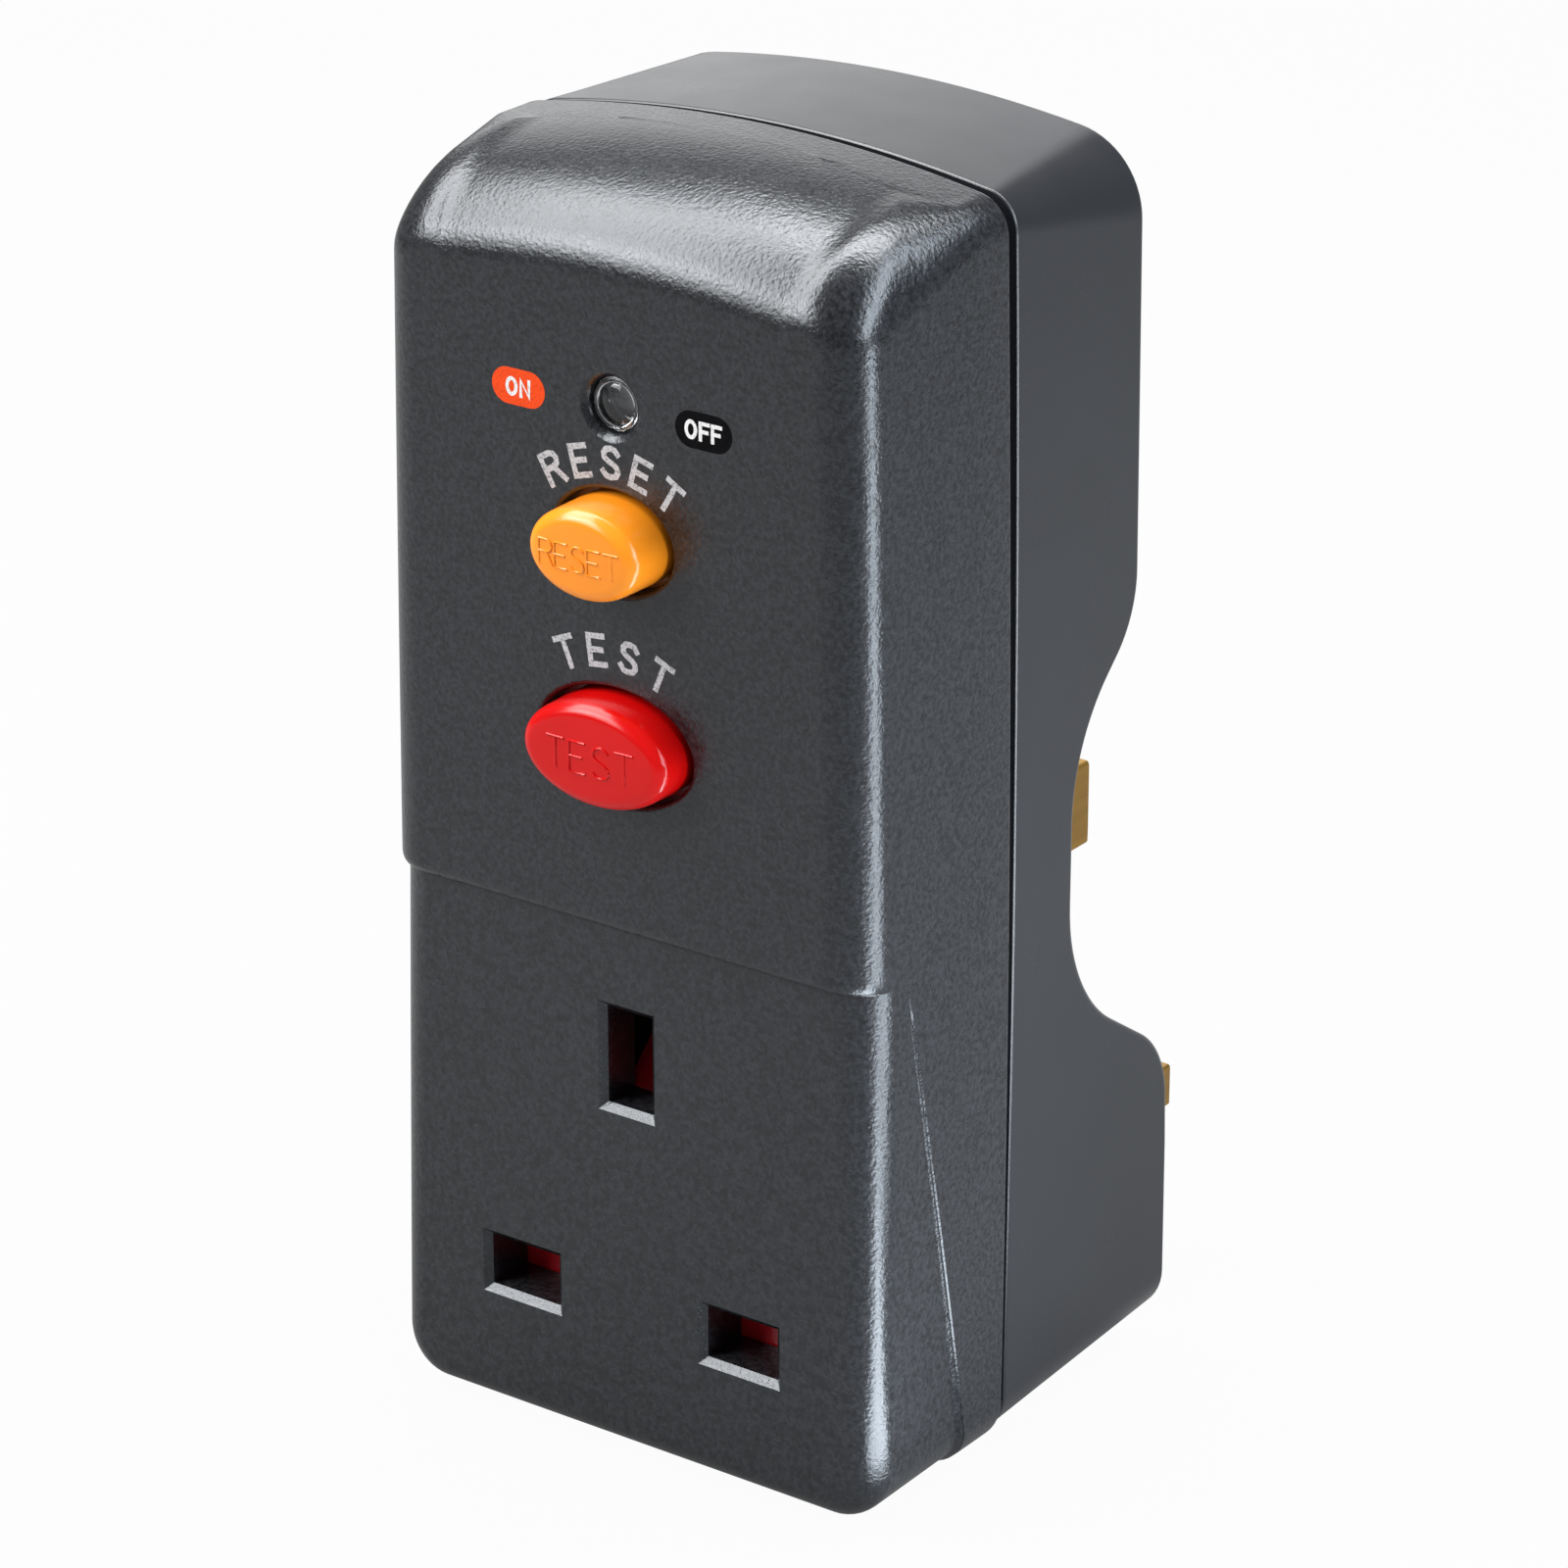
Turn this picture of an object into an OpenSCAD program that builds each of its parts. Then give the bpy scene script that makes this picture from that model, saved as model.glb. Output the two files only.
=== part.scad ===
// Plug-through safety adaptor for 13 A three-pin outlets: a residual-current
// device in a two-part case, with a plug at the back and a shuttered socket in front.
// Millimetres. X runs to the right seen from the front, Y towards the wall, Z up.
// The origin lies on the plug face, midway between the earth pin and the line of
// the two lower pins.

/* [Case] */
// Width over both sides where the covers meet
body_w = 49.6; // [49:0.2:54]
// Height from the lowest edge to the crown of the top
body_h = 110; // [109:0.5:116]
// Depth from the socket face to the plug face
body_d = 43.4; // [43:0.2:46]
// Depth from the socket face to the joint between the covers
joint_d = 18.9; // [18.7:0.1:19.2]
// Depth from the socket face to the back of the upper housing
housing_d = 37.6; // [37:0.2:40]
// Depth from the socket face to the bottom of the finger scallops
neck_d = 28.4; // [28:0.1:29.4]
// How far the button panel stands proud of the socket face
panel_rise = 1.0; // [0.6:0.1:1.4]
// Thickness of the case walls
wall = 2.2; // [1.8:0.1:2.4]
// Radius of the crowned top
crown_r = 121; // [100:1:160]
// Gap between the two covers
joint_gap = 0.3; // [0.1:0.05:0.4]
// Height of the lower pins above the lowest edge
foot_h = 14.5; // [14.3:0.1:16]
// Depth of the chin's ledge at the bottom
chin_depth = 0.35; // [0.1:0.05:0.6]

/* [Socket and plug] */
// Spacing of the lower pins, and of the earth pin above them
pitch = 22.23; // [22.1:0.01:22.4]
// How far the socket lies below the plug
socket_drop = 1.0; // [0.6:0.1:1.4]
// Clear width of the line and neutral slots
slot_w = 7.0; // [6.8:0.1:7.4]
// Clear height of the line and neutral slots
slot_h = 4.6; // [4.4:0.1:4.9]
// Clear width of the earth slot
earth_slot_w = 4.5; // [4.3:0.1:4.9]
// Clear height of the earth slot
earth_slot_h = 8.55; // [8.3:0.05:9]
// Bevel around each slot
slot_bevel = 0.6; // [0.3:0.05:0.8]
// Length of the earth pin from the plug face
earth_pin_l = 22.7; // [22.2:0.1:23.2]
// Length of the line and neutral pins from the plug face
pin_l = 17.7; // [17.2:0.1:18.2]
// Length of the insulating sleeves
sleeve_l = 9.5; // [9:0.1:10]
// Half width of the tower around the earth pin
tower_hw = 10.5; // [9.5:0.1:12]
// Travel of the shutter
shutter_travel = 6.2; // [6:0.1:6.4]

/* [Controls] */
// Distance of the test button below the crown
test_drop = 46.4; // [46:0.1:47]
// Distance of the reset button below the crown
reset_drop = 29.3; // [28.9:0.1:29.7]
// Distance of the window below the crown
window_drop = 18.2; // [17.9:0.1:18.5]
// Width of the test button at its hole
test_w = 15.0; // [14:0.1:15.4]
// Height of the test button at its hole
test_h = 9.6; // [9:0.1:10]
// Width of the reset button at its hole
reset_w = 11.5; // [10.5:0.1:12]
// Height of the reset button at its hole
reset_h = 8.4; // [7.8:0.1:8.6]
// How far the test button stands out
test_out = 3.3; // [2.6:0.1:4]
// How far the reset button stands out
reset_out = 4.4; // [3.8:0.1:5.2]
// Travel of the test button
test_travel = 1.8; // [1.2:0.1:2]
// Travel of the reset button
reset_travel = 3.0; // [2:0.1:3]
// Clearance between a button and its hole
button_gap = 0.2; // [0.15:0.05:0.3]
// Diameter of the window's lens
lens_d = 4.4; // [4:0.1:4.6]

/* [Mechanism] */
// Travel of the contact carriage
carriage_travel = 2.2; // [1.6:0.1:2.2]
// Travel of the trip plunger
trip_travel = 1.4; // [0.8:0.1:1.4]
// Diameter of the internal leads
lead_d = 2.0; // [1.6:0.1:2.1]
// Diameter of the case screws
screw_d = 2.9; // [2.6:0.1:3]

/* [Hidden] */
$fn = 48;

// Planes across the depth
y_face = -body_d;
y_panel = y_face - panel_rise;
y_joint = y_face + joint_d;
y_house = y_face + housing_d;
y_neck = y_face + neck_d;
y_in = y_face + wall;
y_pin_in = y_panel + wall;

// Levels
z_pin = -pitch / 2;
z_earth = pitch / 2;
z_ln = z_pin - socket_drop;
z_es = z_ln + pitch;
z_bot = z_pin - foot_h;
z_top = z_bot + body_h;
z_step = z_ln + 34.2;
z_test = z_top - test_drop;
z_reset = z_top - reset_drop;
z_window = z_top - window_drop;
hw = body_w / 2;

// Back of the case from bottom to top: plug face, shoulder, scallop, upper housing
z_low = z_pin + 22.9;
z_chin = z_top - 41.8;
z_high = z_chin - 8.6;
z_should = z_pin + 12.8;
waist_k = (z_high - z_low) / 22.2;
scallop = concat(
  [[0, z_bot - 1]],
  bend([0, z_bot], [0, z_should], [y_neck, z_low], 7.8, 5),
  bend([0, z_should], [y_neck, z_low], [y_neck, z_high], 15.4 * waist_k, 6),
  bend([y_neck, z_low], [y_neck, z_high], [y_house, z_chin], 16 * waist_k, 5),
  bend([y_neck, z_high], [y_house, z_chin], [y_house, z_top], 9 * waist_k, 4),
  [[y_house, z_top + 1]]
);
scallop_y = [for (p = scallop) [p[1], p[0]]];

// Case screws, as [x, z] on the right side
screw_up = [hw - 7.6, z_top - 10.5];
screw_low = [hw - 6.2, z_bot + 7.1];

// Mechanism planes
y_wing = y_in + 3.1;
y_ramp = y_in + 2.1;
y_plate = y_pin_in + 3.2 + reset_travel;
y_strip = y_plate + 1.6;
y_tips = y_strip + 1.3;
y_car = y_tips + carriage_travel + 0.05 + 1.3;
car_t = 4.5;
y_latch = y_car + car_t;
y_back = y_latch + 1.6;
z_floor = z_reset - 8.5;
z_feed = z_reset + 3.4;
z_out = z_reset - 3.4;
y_flag = y_pin_in + 8.6;
flag_r = 7.9;
y_plunger = y_latch - 0.6;
y_board = y_joint + 1.3;
toroid_d = y_house - wall - y_back - 2.65;
y_tor = y_house - wall - 0.6 - toroid_d / 2;
lug_x = 4.2;
y_blade = y_plate - 1.2 - test_travel;
latch_x = 9.6 + trip_travel;
sol_x0 = latch_x + 0.6;
sol_x1 = hw - 4.8;
board_hw = hw - 11.8;
post_x = board_hw - 2.6;
z_lead = min(z_reset + 8.6, z_top - 20.8);

function unit(v) = v / norm(v);
function turned(w, a) = [w[0] * cos(a) - w[1] * sin(a), w[0] * sin(a) + w[1] * cos(a)];
function mix(a, b, f) = a + (b - a) * f;

// Rounds the corner at p1 on the way from p0 to p2 with n steps
function bend(p0, p1, p2, r, n) =
  let (
    u = unit(p1 - p0),
    v = unit(p2 - p1),
    s = sign(cross(u, v)),
    turn = acos(u * v),
    side = s * [-u[1], u[0]],
    mid = p1 - u * r * tan(turn / 2) + side * r
  )
  [for (i = [0 : n]) mid + turned(-side * r, s * turn * i / n)];

// Arc of [x, z, direction of the outward normal]
function arc(cx, cz, r, a0, a1, n) =
  [for (i = [0 : n]) let (a = mix(a0, a1, i / n)) [cx + r * cos(a), cz + r * sin(a), a]];

// Right half of a case outline from the bottom to the crown, with points at the given levels
function half_outline(hb, ht, bow, zb, zt, rt, rb, levels) =
  let (
    big = crown_r,
    lean = asin((ht - rt) / (big - rt)),
    cz = zt - big + sqrt(pow(big - rt, 2) - pow(ht - rt, 2)),
    crown = arc(0, zt - big, big, 90 - lean, 90, 5)
  )
  concat(
    arc(hb - rb, zb + rb, rb, -90, 0, 5),
    [for (z = levels)
      let (f = (z - zb - rb) / (cz - zb - rb))
      [mix(hb, ht, f) + bow * 4 * f * (1 - f), z, 0]],
    arc(ht - rt, cz, rt, 0, 90 - lean, 5),
    [for (i = [1 : 5]) crown[i]]
  );
function both_sides(h) =
  concat(h, [for (i = [len(h) - 2 : -1 : 0]) [-h[i][0], h[i][1], 180 - h[i][2]]]);
function inset(p, d) = [p[0] - d * cos(p[2]), p[1] - d * sin(p[2])];

// Solid through rings of points ordered from the back to the front
module loft(rings) {
  n = len(rings[0]);
  m = len(rings);
  h = (n - 1) / 2;
  last = n * (m - 1);
  polyhedron(
    points = [for (r = rings) each r],
    faces = concat(
      [for (k = [0 : h - 2]) [k, k + 1, n - 2 - k, n - 1 - k]],
      [[h - 1, h, h + 1]],
      [for (i = [0 : m - 2]) for (j = [0 : n - 1])
        let (a = i * n + j, b = i * n + (j + 1) % n)
        each [[a, a + n, b + n], [a, b + n, b]]],
      [for (k = [0 : h - 2]) [last + k, last + n - 1 - k, last + n - 2 - k, last + k + 1]],
      [[last + h - 1, last + h + 1, last + h]]
    )
  );
}

// Extrudes a drawing in X and Z along Y, or one in Y and Z along X
module along_y(y0, y1) {
  translate([0, y1, 0]) rotate([90, 0, 0]) linear_extrude(y1 - y0) children();
}
module along_x(x0, x1) {
  translate([x0, 0, 0]) rotate([90, 0, 90]) linear_extrude(x1 - x0) children();
}
module box(x0, x1, y0, y1, z0, z1) {
  translate([x0, y0, z0]) cube([x1 - x0, y1 - y0, z1 - z0]);
}
module rod_y(x, z, y0, y1, d) {
  translate([x, y1, z]) rotate([90, 0, 0]) cylinder(d = d, h = y1 - y0);
}
module rod_x(y, z, x0, x1, d) {
  translate([x0, y, z]) rotate([0, 90, 0]) cylinder(d = d, h = x1 - x0);
}
module both() {
  children();
  mirror([1, 0, 0]) children();
}

// Oval with half axes a and b
function oval(a, b) = [for (i = [0 : 40]) let (t = -90 + 360 * (i + 0.5) / 41) [a * cos(t), b * sin(t)]];

// Coil spring standing on the XY plane, as one wire
module coil(d, wire, len, turns) {
  steps = turns * 10;
  r = (d - wire) / 2;
  pts = [for (i = [0 : steps])
    let (a = 36 * i, z = wire / 2 + (len - wire) * i / steps)
    for (k = [0 : 5])
      let (w = 60 * k, q = r + wire / 2 * cos(w))
      [q * cos(a), q * sin(a), z + wire / 2 * sin(w)]];
  polyhedron(
    points = pts,
    faces = concat(
      [[for (k = [0 : 5]) k]],
      [for (i = [0 : steps - 1]) for (k = [0 : 5])
        let (a = i * 6 + k, b = i * 6 + (k + 1) % 6)
        each [[a, a + 6, b + 6], [a, b + 6, b]]],
      [[for (k = [5 : -1 : 0]) steps * 6 + k]]
    )
  );
}

// Round lead along a path
function cut_corners(p) =
  concat([p[0]],
    [for (i = [0 : len(p) - 2]) each [mix(p[i], p[i + 1], 0.25), mix(p[i], p[i + 1], 0.75)]],
    [p[len(p) - 1]]);
module lead(path, d) {
  p = cut_corners(cut_corners(path));
  n = len(p);
  pts = [for (i = [0 : n - 1])
    let (
      t = unit(p[min(i + 1, n - 1)] - p[max(i - 1, 0)]),
      u = unit(cross(t, [0.83, 0.45, 0.33])),
      v = cross(t, u)
    )
    for (k = [0 : 7]) p[i] + d / 2 * (u * cos(45 * k) + v * sin(45 * k))];
  polyhedron(
    points = pts,
    faces = concat(
      [[for (k = [0 : 7]) k]],
      [for (i = [0 : n - 2]) for (k = [0 : 7])
        let (a = i * 8 + k, b = i * 8 + (k + 1) % 8)
        each [[a, a + 8, b + 8], [a, b + 8, b]]],
      [[for (k = [7 : -1 : 0]) (n - 1) * 8 + k]]
    )
  );
}

// Outlines of the case: at the joint, at the front and at the back
front_levels = [
  z_ln - 2, z_ln + 12, z_ln + 24, z_step - 0.5, z_step + 0.3, z_step + 14, z_step + 28, z_step + 40
];
rear_levels = [for (i = [1 : len(scallop) - 2]) scallop[i][1]];
function at_joint(d, levels) =
  both_sides(half_outline(
    hw - 0.25 - d, hw - 0.8 - d, 0.45, z_bot + d, z_top - d, 3.3, 4.5, levels));
function at_front(d, levels) =
  both_sides(half_outline(
    hw - 0.3 - d, hw - 1.6 - d, 0.15, z_bot + 0.6 + d, z_top - 1.8 - d, 7 - d, 4.5 - d, levels));
function at_back(d, levels) =
  both_sides(half_outline(
    hw - 0.35 - d, hw - 0.95 - d, 0.1, z_bot + 1.8 + d, z_top - 0.4 - d, 7 - d, 4.5 - d, levels));

// Rounding of the front edge: large at the top, small at the bottom
function front_round(p) =
  let (side = lookup(p[1], [[z_bot, 2.4], [z_step, 4]]), s = sin(p[2]))
  s > 0 ? mix(side, 6.4, s * s) : mix(side, 2, s * s);
function front_y(z) = lookup(z, [[z_step - 0.5, y_face], [z_step + 0.3, y_panel]]);
// Ledge of the chin on the sides
function chin_y(z) = y_face + 4.9 + (z < z_step ? (z_step - z) * 0.185 : (z - z_step) * 0.05);
function chin_in(z) = z < z_step ? chin_depth * (z_step - z) / (z_step - z_bot) : 0;
function chin_run(z) = 0.15 + 2.4 * chin_in(z);
// Lean of the walls towards the front, at which they run smoothly into the rounding
function wall_lean(p, q, y_s, n = 3) =
  let (
    r = front_round(q),
    d = (p[0] - q[0]) * cos(q[2]) + (p[1] - q[1]) * sin(q[2]),
    a = n > 0 ? wall_lean(p, q, y_s, n - 1) : 0
  )
  atan((d + r * (1 - cos(a))) / (y_s - front_y(q[1]) - r * (1 - sin(a))));
// Point of the rounding at angle a from the side
function front_point(q, a) =
  let (r = front_round(q), e = inset(q, r * (1 - cos(a))))
  [e[0], front_y(e[1]) + r * (1 - sin(a)), e[1]];
// Rounding of the back edge: soft on the shoulders of the plug
function back_round(z) =
  lookup(z, [[z_bot, 0.5], [z_pin + 5, 0.6], [z_pin + 13, 1], [z_pin + 28, 1], [z_pin + 38, 0.8]]);

module front_shape() {
  o_j = at_joint(0, front_levels);
  o_f = at_front(0, front_levels);
  n = len(o_j);
  y_s = y_joint - 4.8;
  loft(concat(
    [[for (p = o_j) [p[0], y_joint - joint_gap / 2, p[1]]]],
    [[for (p = o_j) [p[0], y_s, p[1]]]],
    [for (k = [0, 1]) [for (i = [0 : n - 1])
      let (
        y = chin_y(o_j[i][1]) - chin_run(o_j[i][1]) * k,
        w = front_point(o_f[i], wall_lean(o_j[i], o_f[i], y_s)),
        f = (y_s - y) / (y_s - w[1]),
        q = [mix(o_j[i][0], w[0], f), mix(o_j[i][1], w[2], f), o_j[i][2]],
        e = inset(q, k * chin_in(q[1]))
      )
      [e[0], y, e[1]]]],
    [for (k = [0 : 5]) [for (i = [0 : n - 1])
      front_point(o_f[i], mix(wall_lean(o_j[i], o_f[i], y_s), 90, k / 5))]]
  ));
}

module rear_shape() {
  o_j = at_joint(0.25, rear_levels);
  o_r = at_back(0, rear_levels);
  loft(concat(
    [for (a = [90 : -22.5 : 0]) [for (p = o_r)
      let (r = back_round(p[1]), e = inset(p, r * (1 - cos(a))))
      [e[0], lookup(e[1], scallop_y) - r * (1 - sin(a)), e[1]]]],
    [[for (p = o_j) [p[0], y_joint + joint_gap / 2, p[1]]]]
  ));
}

module flat_outline(o) {
  polygon([for (p = o) [p[0], p[1]]]);
}

module front_cavity() {
  zt = z_top - 1.8 - wall;
  intersection() {
    along_y(y_panel, y_joint + 1) flat_outline(at_front(wall, []));
    along_x(-hw, hw) polygon([
      [y_joint + 2, z_bot - 1],
      [y_in, z_bot - 1],
      [y_in, z_step + 1],
      [y_pin_in, z_step + 1],
      [y_pin_in, zt - 2.8],
      [y_pin_in + 2.8, zt],
      [y_pin_in + 2.8, z_top],
      [y_joint + 2, z_top]
    ]);
  }
}

module rear_cavity() {
  n = len(scallop);
  inner = [for (i = [0 : n - 1])
    let (t = unit(scallop[min(i + 1, n - 1)] - scallop[max(i - 1, 0)]))
    scallop[i] - wall * [t[1], -t[0]]];
  intersection() {
    along_y(y_joint - 1, 0) flat_outline(at_back(wall + 0.2, []));
    along_x(-hw, hw) polygon(concat([[y_joint - 2, z_bot - 1]], inner, [[y_joint - 2, z_top + 1]]));
  }
}

// Bevelled slot through the socket face
module slot(x, z, w, h) {
  b = slot_bevel;
  box(x - w / 2, x + w / 2, y_face - 1, y_wing + 0.5, z - h / 2, z + h / 2);
  loft([for (k = [b, -0.2])
    let (g = b - k, y = y_face + k)
    [[x - w / 2 - g, y, z - h / 2 - g], [x, y, z - h / 2 - g], [x + w / 2 + g, y, z - h / 2 - g],
     [x + w / 2 + g, y, z + h / 2 + g], [x - w / 2 - g, y, z + h / 2 + g]]]);
}

module collar(x, z, w, h, y1) {
  box(x - w / 2 - 1.1, x + w / 2 + 1.1, y_in - 0.8, y1, z - h / 2 - 1.1, z + h / 2 + 1.1);
}

module button_hole(w, h, z) {
  translate([0, 0, z]) along_y(y_panel - 2, y_pin_in + 1)
  polygon(oval(w / 2 + button_gap, h / 2 + button_gap));
}

module front_cover() {
  color([0.24, 0.25, 0.27])
  difference() {
    union() {
      difference() {
        front_shape();
        front_cavity();
      }
      both() {
        rod_y(screw_up[0], screw_up[1], y_pin_in - 0.8, y_joint - joint_gap / 2, 6);
        rod_y(screw_low[0], screw_low[1], y_in - 0.8, y_joint - joint_gap / 2, 5.6);
      }
      // Bosses for the mechanism and the test blade, and the peg of the shutter's spring
      rod_y(-16, z_reset + 1.7, y_pin_in - 0.8, y_plate, 5.4);
      rod_y(15, z_reset + 10, y_pin_in - 0.8, y_plate, 5.4);
      rod_y(-13, z_test, y_pin_in - 0.8, y_blade, 5);
      box(-1.6, 1.6, y_in - 0.8, y_in + 2.7, z_ln - 1.1, z_ln + 0.7);
      // Collars that carry the slots on to the shutter
      both() collar(pitch / 2, z_ln, slot_w, slot_h, y_wing - 0.2);
      collar(0, z_es, earth_slot_w, earth_slot_h, y_ramp - 0.2);
    }
    both() slot(pitch / 2, z_ln, slot_w, slot_h);
    slot(0, z_es, earth_slot_w, earth_slot_h);
    button_hole(test_w, test_h, z_test);
    button_hole(reset_w, reset_h, z_reset);
    rod_y(0, z_window, y_panel - 1, y_pin_in + 1, lens_d + 0.1);
    translate([0, y_panel - 0.01, z_window]) rotate([-90, 0, 0])
    cylinder(d1 = lens_d + 1, d2 = lens_d + 0.1, h = 0.5);
    both() {
      rod_y(screw_up[0], screw_up[1], y_joint - 11, y_joint + 1, screw_d + 0.1);
      rod_y(screw_low[0], screw_low[1], y_joint - 11, y_joint + 1, screw_d + 0.1);
    }
    rod_y(-16, z_reset + 1.7, y_pin_in + 1, y_plate + 1, 2.3);
    rod_y(15, z_reset + 10, y_pin_in + 1, y_plate + 1, 2.3);
    rod_y(-13, z_test, y_pin_in + 0.5, y_blade + 1, 1.9);
  }
}

module tower(d, y0, y1) {
  w = tower_hw - d;
  t = z_earth + 3.96 + 6.5 - d;
  along_y(y0, y1) union() {
    translate([-w, z_pin]) square([2 * w, t - 7 + d - z_pin]);
    translate([-w + 7 - d, z_pin]) square([2 * (w - 7 + d), t - z_pin]);
    both() translate([w - 7 + d, t - 7 + d]) circle(r = 7 - d);
  }
}

module pin_window(z, w, h) {
  box(-w / 2, w / 2, -wall - 1, 1, z - h / 2, z + h / 2);
}

module rear_cover() {
  color([0.27, 0.28, 0.3])
  difference() {
    union() {
      difference() {
        union() {
          rear_shape();
          tower(0, y_neck - 1.2, 0);
        }
        rear_cavity();
        tower(3.2, y_neck - 4, -wall);
      }
      // Lip that enters the front cover
      difference() {
        along_y(y_joint - 1.8, y_joint + 1.2) flat_outline(at_front(wall + 0.15, []));
        along_y(y_joint - 3, y_joint + 3) flat_outline(at_front(wall + 1.15, []));
        box(15, hw, y_joint - 3, y_joint + 3, z_floor - 1, z_reset + 7);
        both() {
          rod_y(screw_up[0], screw_up[1], y_joint - 3, y_joint + 0.1, 6.8);
          box(13, hw, y_joint - 3, y_joint + 2, screw_low[1] - 3.4, screw_low[1] + 4.6);
        }
      }
      both() {
        rod_y(screw_up[0], screw_up[1], y_joint + joint_gap / 2, y_house - 0.6, 7.4);
        rod_y(screw_low[0], screw_low[1], y_joint + joint_gap / 2 + 1.8, -0.6, 7);
        for (d = [7.6, 16.6]) {
          rod_y(post_x, z_top - d, y_board + 1.6, y_house - 0.6, 3.6);
          rod_y(post_x, z_top - d, y_board - 0.7, y_board + 2, 1.8);
        }
      }
      rod_y(0, z_pin + 7.1, -wall - 1.6, -0.6, 5.4);
    }
    both() {
      rod_y(screw_up[0], screw_up[1], y_joint - 3, 1, screw_d + 0.3);
      rod_y(screw_up[0], screw_up[1], y_house - 4.2, 1, 5.8);
      rod_y(screw_low[0], screw_low[1], y_joint - 3, 1, screw_d + 0.3);
      rod_y(screw_low[0], screw_low[1], -5.2, 1, 5.8);
      translate([pitch / 2, 0, 0]) pin_window(z_pin, 6.55, 4.15);
    }
    pin_window(z_earth, 4.15, 8.1);
    rod_y(0, z_pin + 7.1, -wall - 2, -1, 2.3);
  }
}

// Screw along Y with its head at the back and a cross recess
module screw(x, z, y_seat, len, d, head_d, head_h) {
  difference() {
    union() {
      rod_y(x, z, y_seat - len, y_seat + 0.2, d);
      rod_y(x, z, y_seat, y_seat + head_h, head_d);
    }
    box(x - head_d * 0.3, x + head_d * 0.3, y_seat + head_h - 0.9, y_seat + head_h + 1, z - 0.35, z + 0.35);
    box(x - 0.35, x + 0.35, y_seat + head_h - 0.9, y_seat + head_h + 1, z - head_d * 0.3, z + head_d * 0.3);
  }
}

module case_screws() {
  color([0.6, 0.6, 0.62])
  both() {
    screw(screw_up[0], screw_up[1], y_house - 4.2, housing_d - joint_d + 5, screw_d, 5.2, 2.4);
    screw(screw_low[0], screw_low[1], -5.2, body_d - joint_d + 4, screw_d, 5.2, 2.4);
  }
}

module indicator_lens() {
  color([0.8, 0.85, 0.9])
  union() {
    rod_y(0, z_window, y_panel + 0.5, y_pin_in + 0.2, lens_d);
    rod_y(0, z_window, y_pin_in, y_pin_in + 0.5, lens_d + 1.6);
  }
}

// Oval button: drafted sides, rounded front edge, retaining flange
module button(w, h, out, z) {
  e = 0.9;
  translate([0, 0, z]) {
    loft([for (s = [
        [y_pin_in + 0.3, 0],
        [y_panel, 0],
        [y_panel - out + e, 0.45],
        [y_panel - out + e * 0.3, 0.45 + e * 0.29],
        [y_panel - out, 0.45 + e]
      ])
      [for (p = oval(w / 2 - s[1], h / 2 - s[1])) [p[0], s[0], p[1]]]]);
    along_y(y_pin_in + 0.2, y_pin_in + 1.2) polygon(oval(w / 2 + 0.8, h / 2 + 0.6));
  }
}

module reset_button() {
  color([0.95, 0.5, 0.08])
  union() {
    button(reset_w, reset_h, reset_out, z_reset);
    rod_y(0, z_reset, y_pin_in + 1, y_latch + 1.8 - reset_travel, 3.2);
  }
}

module reset_spring() {
  color([0.75, 0.75, 0.77])
  translate([0, y_plate, z_reset]) rotate([90, 0, 0]) coil(5.4, 0.5, y_plate - y_pin_in - 1.2, 4);
}

module test_button() {
  color([0.8, 0.06, 0.07])
  union() {
    button(test_w, test_h, test_out, z_test);
    rod_y(0, z_test, y_pin_in + 1, y_blade - 0.1, 3.6);
  }
}

module test_blade() {
  color([0.8, 0.62, 0.3])
  difference() {
    box(-15.6, 3, y_blade, y_blade + 0.4, z_test - 2.4, z_test + 2.4);
    rod_y(-13, z_test, y_blade - 1, y_blade + 1, 2);
  }
}

module blade_rivet() {
  color([0.7, 0.7, 0.72])
  union() {
    rod_y(-13, z_test, y_pin_in + 0.7, y_blade + 0.5, 1.8);
    rod_y(-13, z_test, y_blade + 0.4, y_blade + 1.2, 3.4);
  }
}

module test_contact() {
  color([0.85, 0.7, 0.35])
  box(-2.4, 2.4, y_plate - 0.6, y_plate, z_test - 2, z_test + 2);
}

// Red shutter: wings behind the collars of the lower slots, stem and ramp behind the earth slot
module shutter() {
  color([0.75, 0.05, 0.06])
  difference() {
    union() {
      box(-15.3, 15.3, y_wing, y_wing + 2, z_ln - 3.5, z_ln + 3.5);
      box(-4.2, 4.2, y_in + 0.1, y_wing + 2, z_ln - 3.5, z_ln + 3.5);
      box(-4.2, 4.2, y_in + 0.1, y_ramp + 2.2, z_ln - 3.5, z_es - 5.6);
      along_x(-3.2, 3.2) polygon([
        [y_ramp, z_es - 12],
        [y_ramp, z_es - 4.4],
        [y_ramp + 0.4 + shutter_travel, z_es - 4 + shutter_travel],
        [y_ramp + 0.4 + shutter_travel, z_es - 7.6 + shutter_travel],
        [y_ramp + 2.2, z_es - 5.8],
        [y_ramp + 2.2, z_es - 12]
      ]);
    }
    box(-2, 2, y_in - 1, y_in + 4, z_ln - 1.5, z_ln + 15);
  }
}

module shutter_spring() {
  color([0.75, 0.75, 0.77])
  translate([0, y_in + 1.7, z_ln + 0.7]) coil(3.2, 0.4, 14.3, 7);
}

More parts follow.
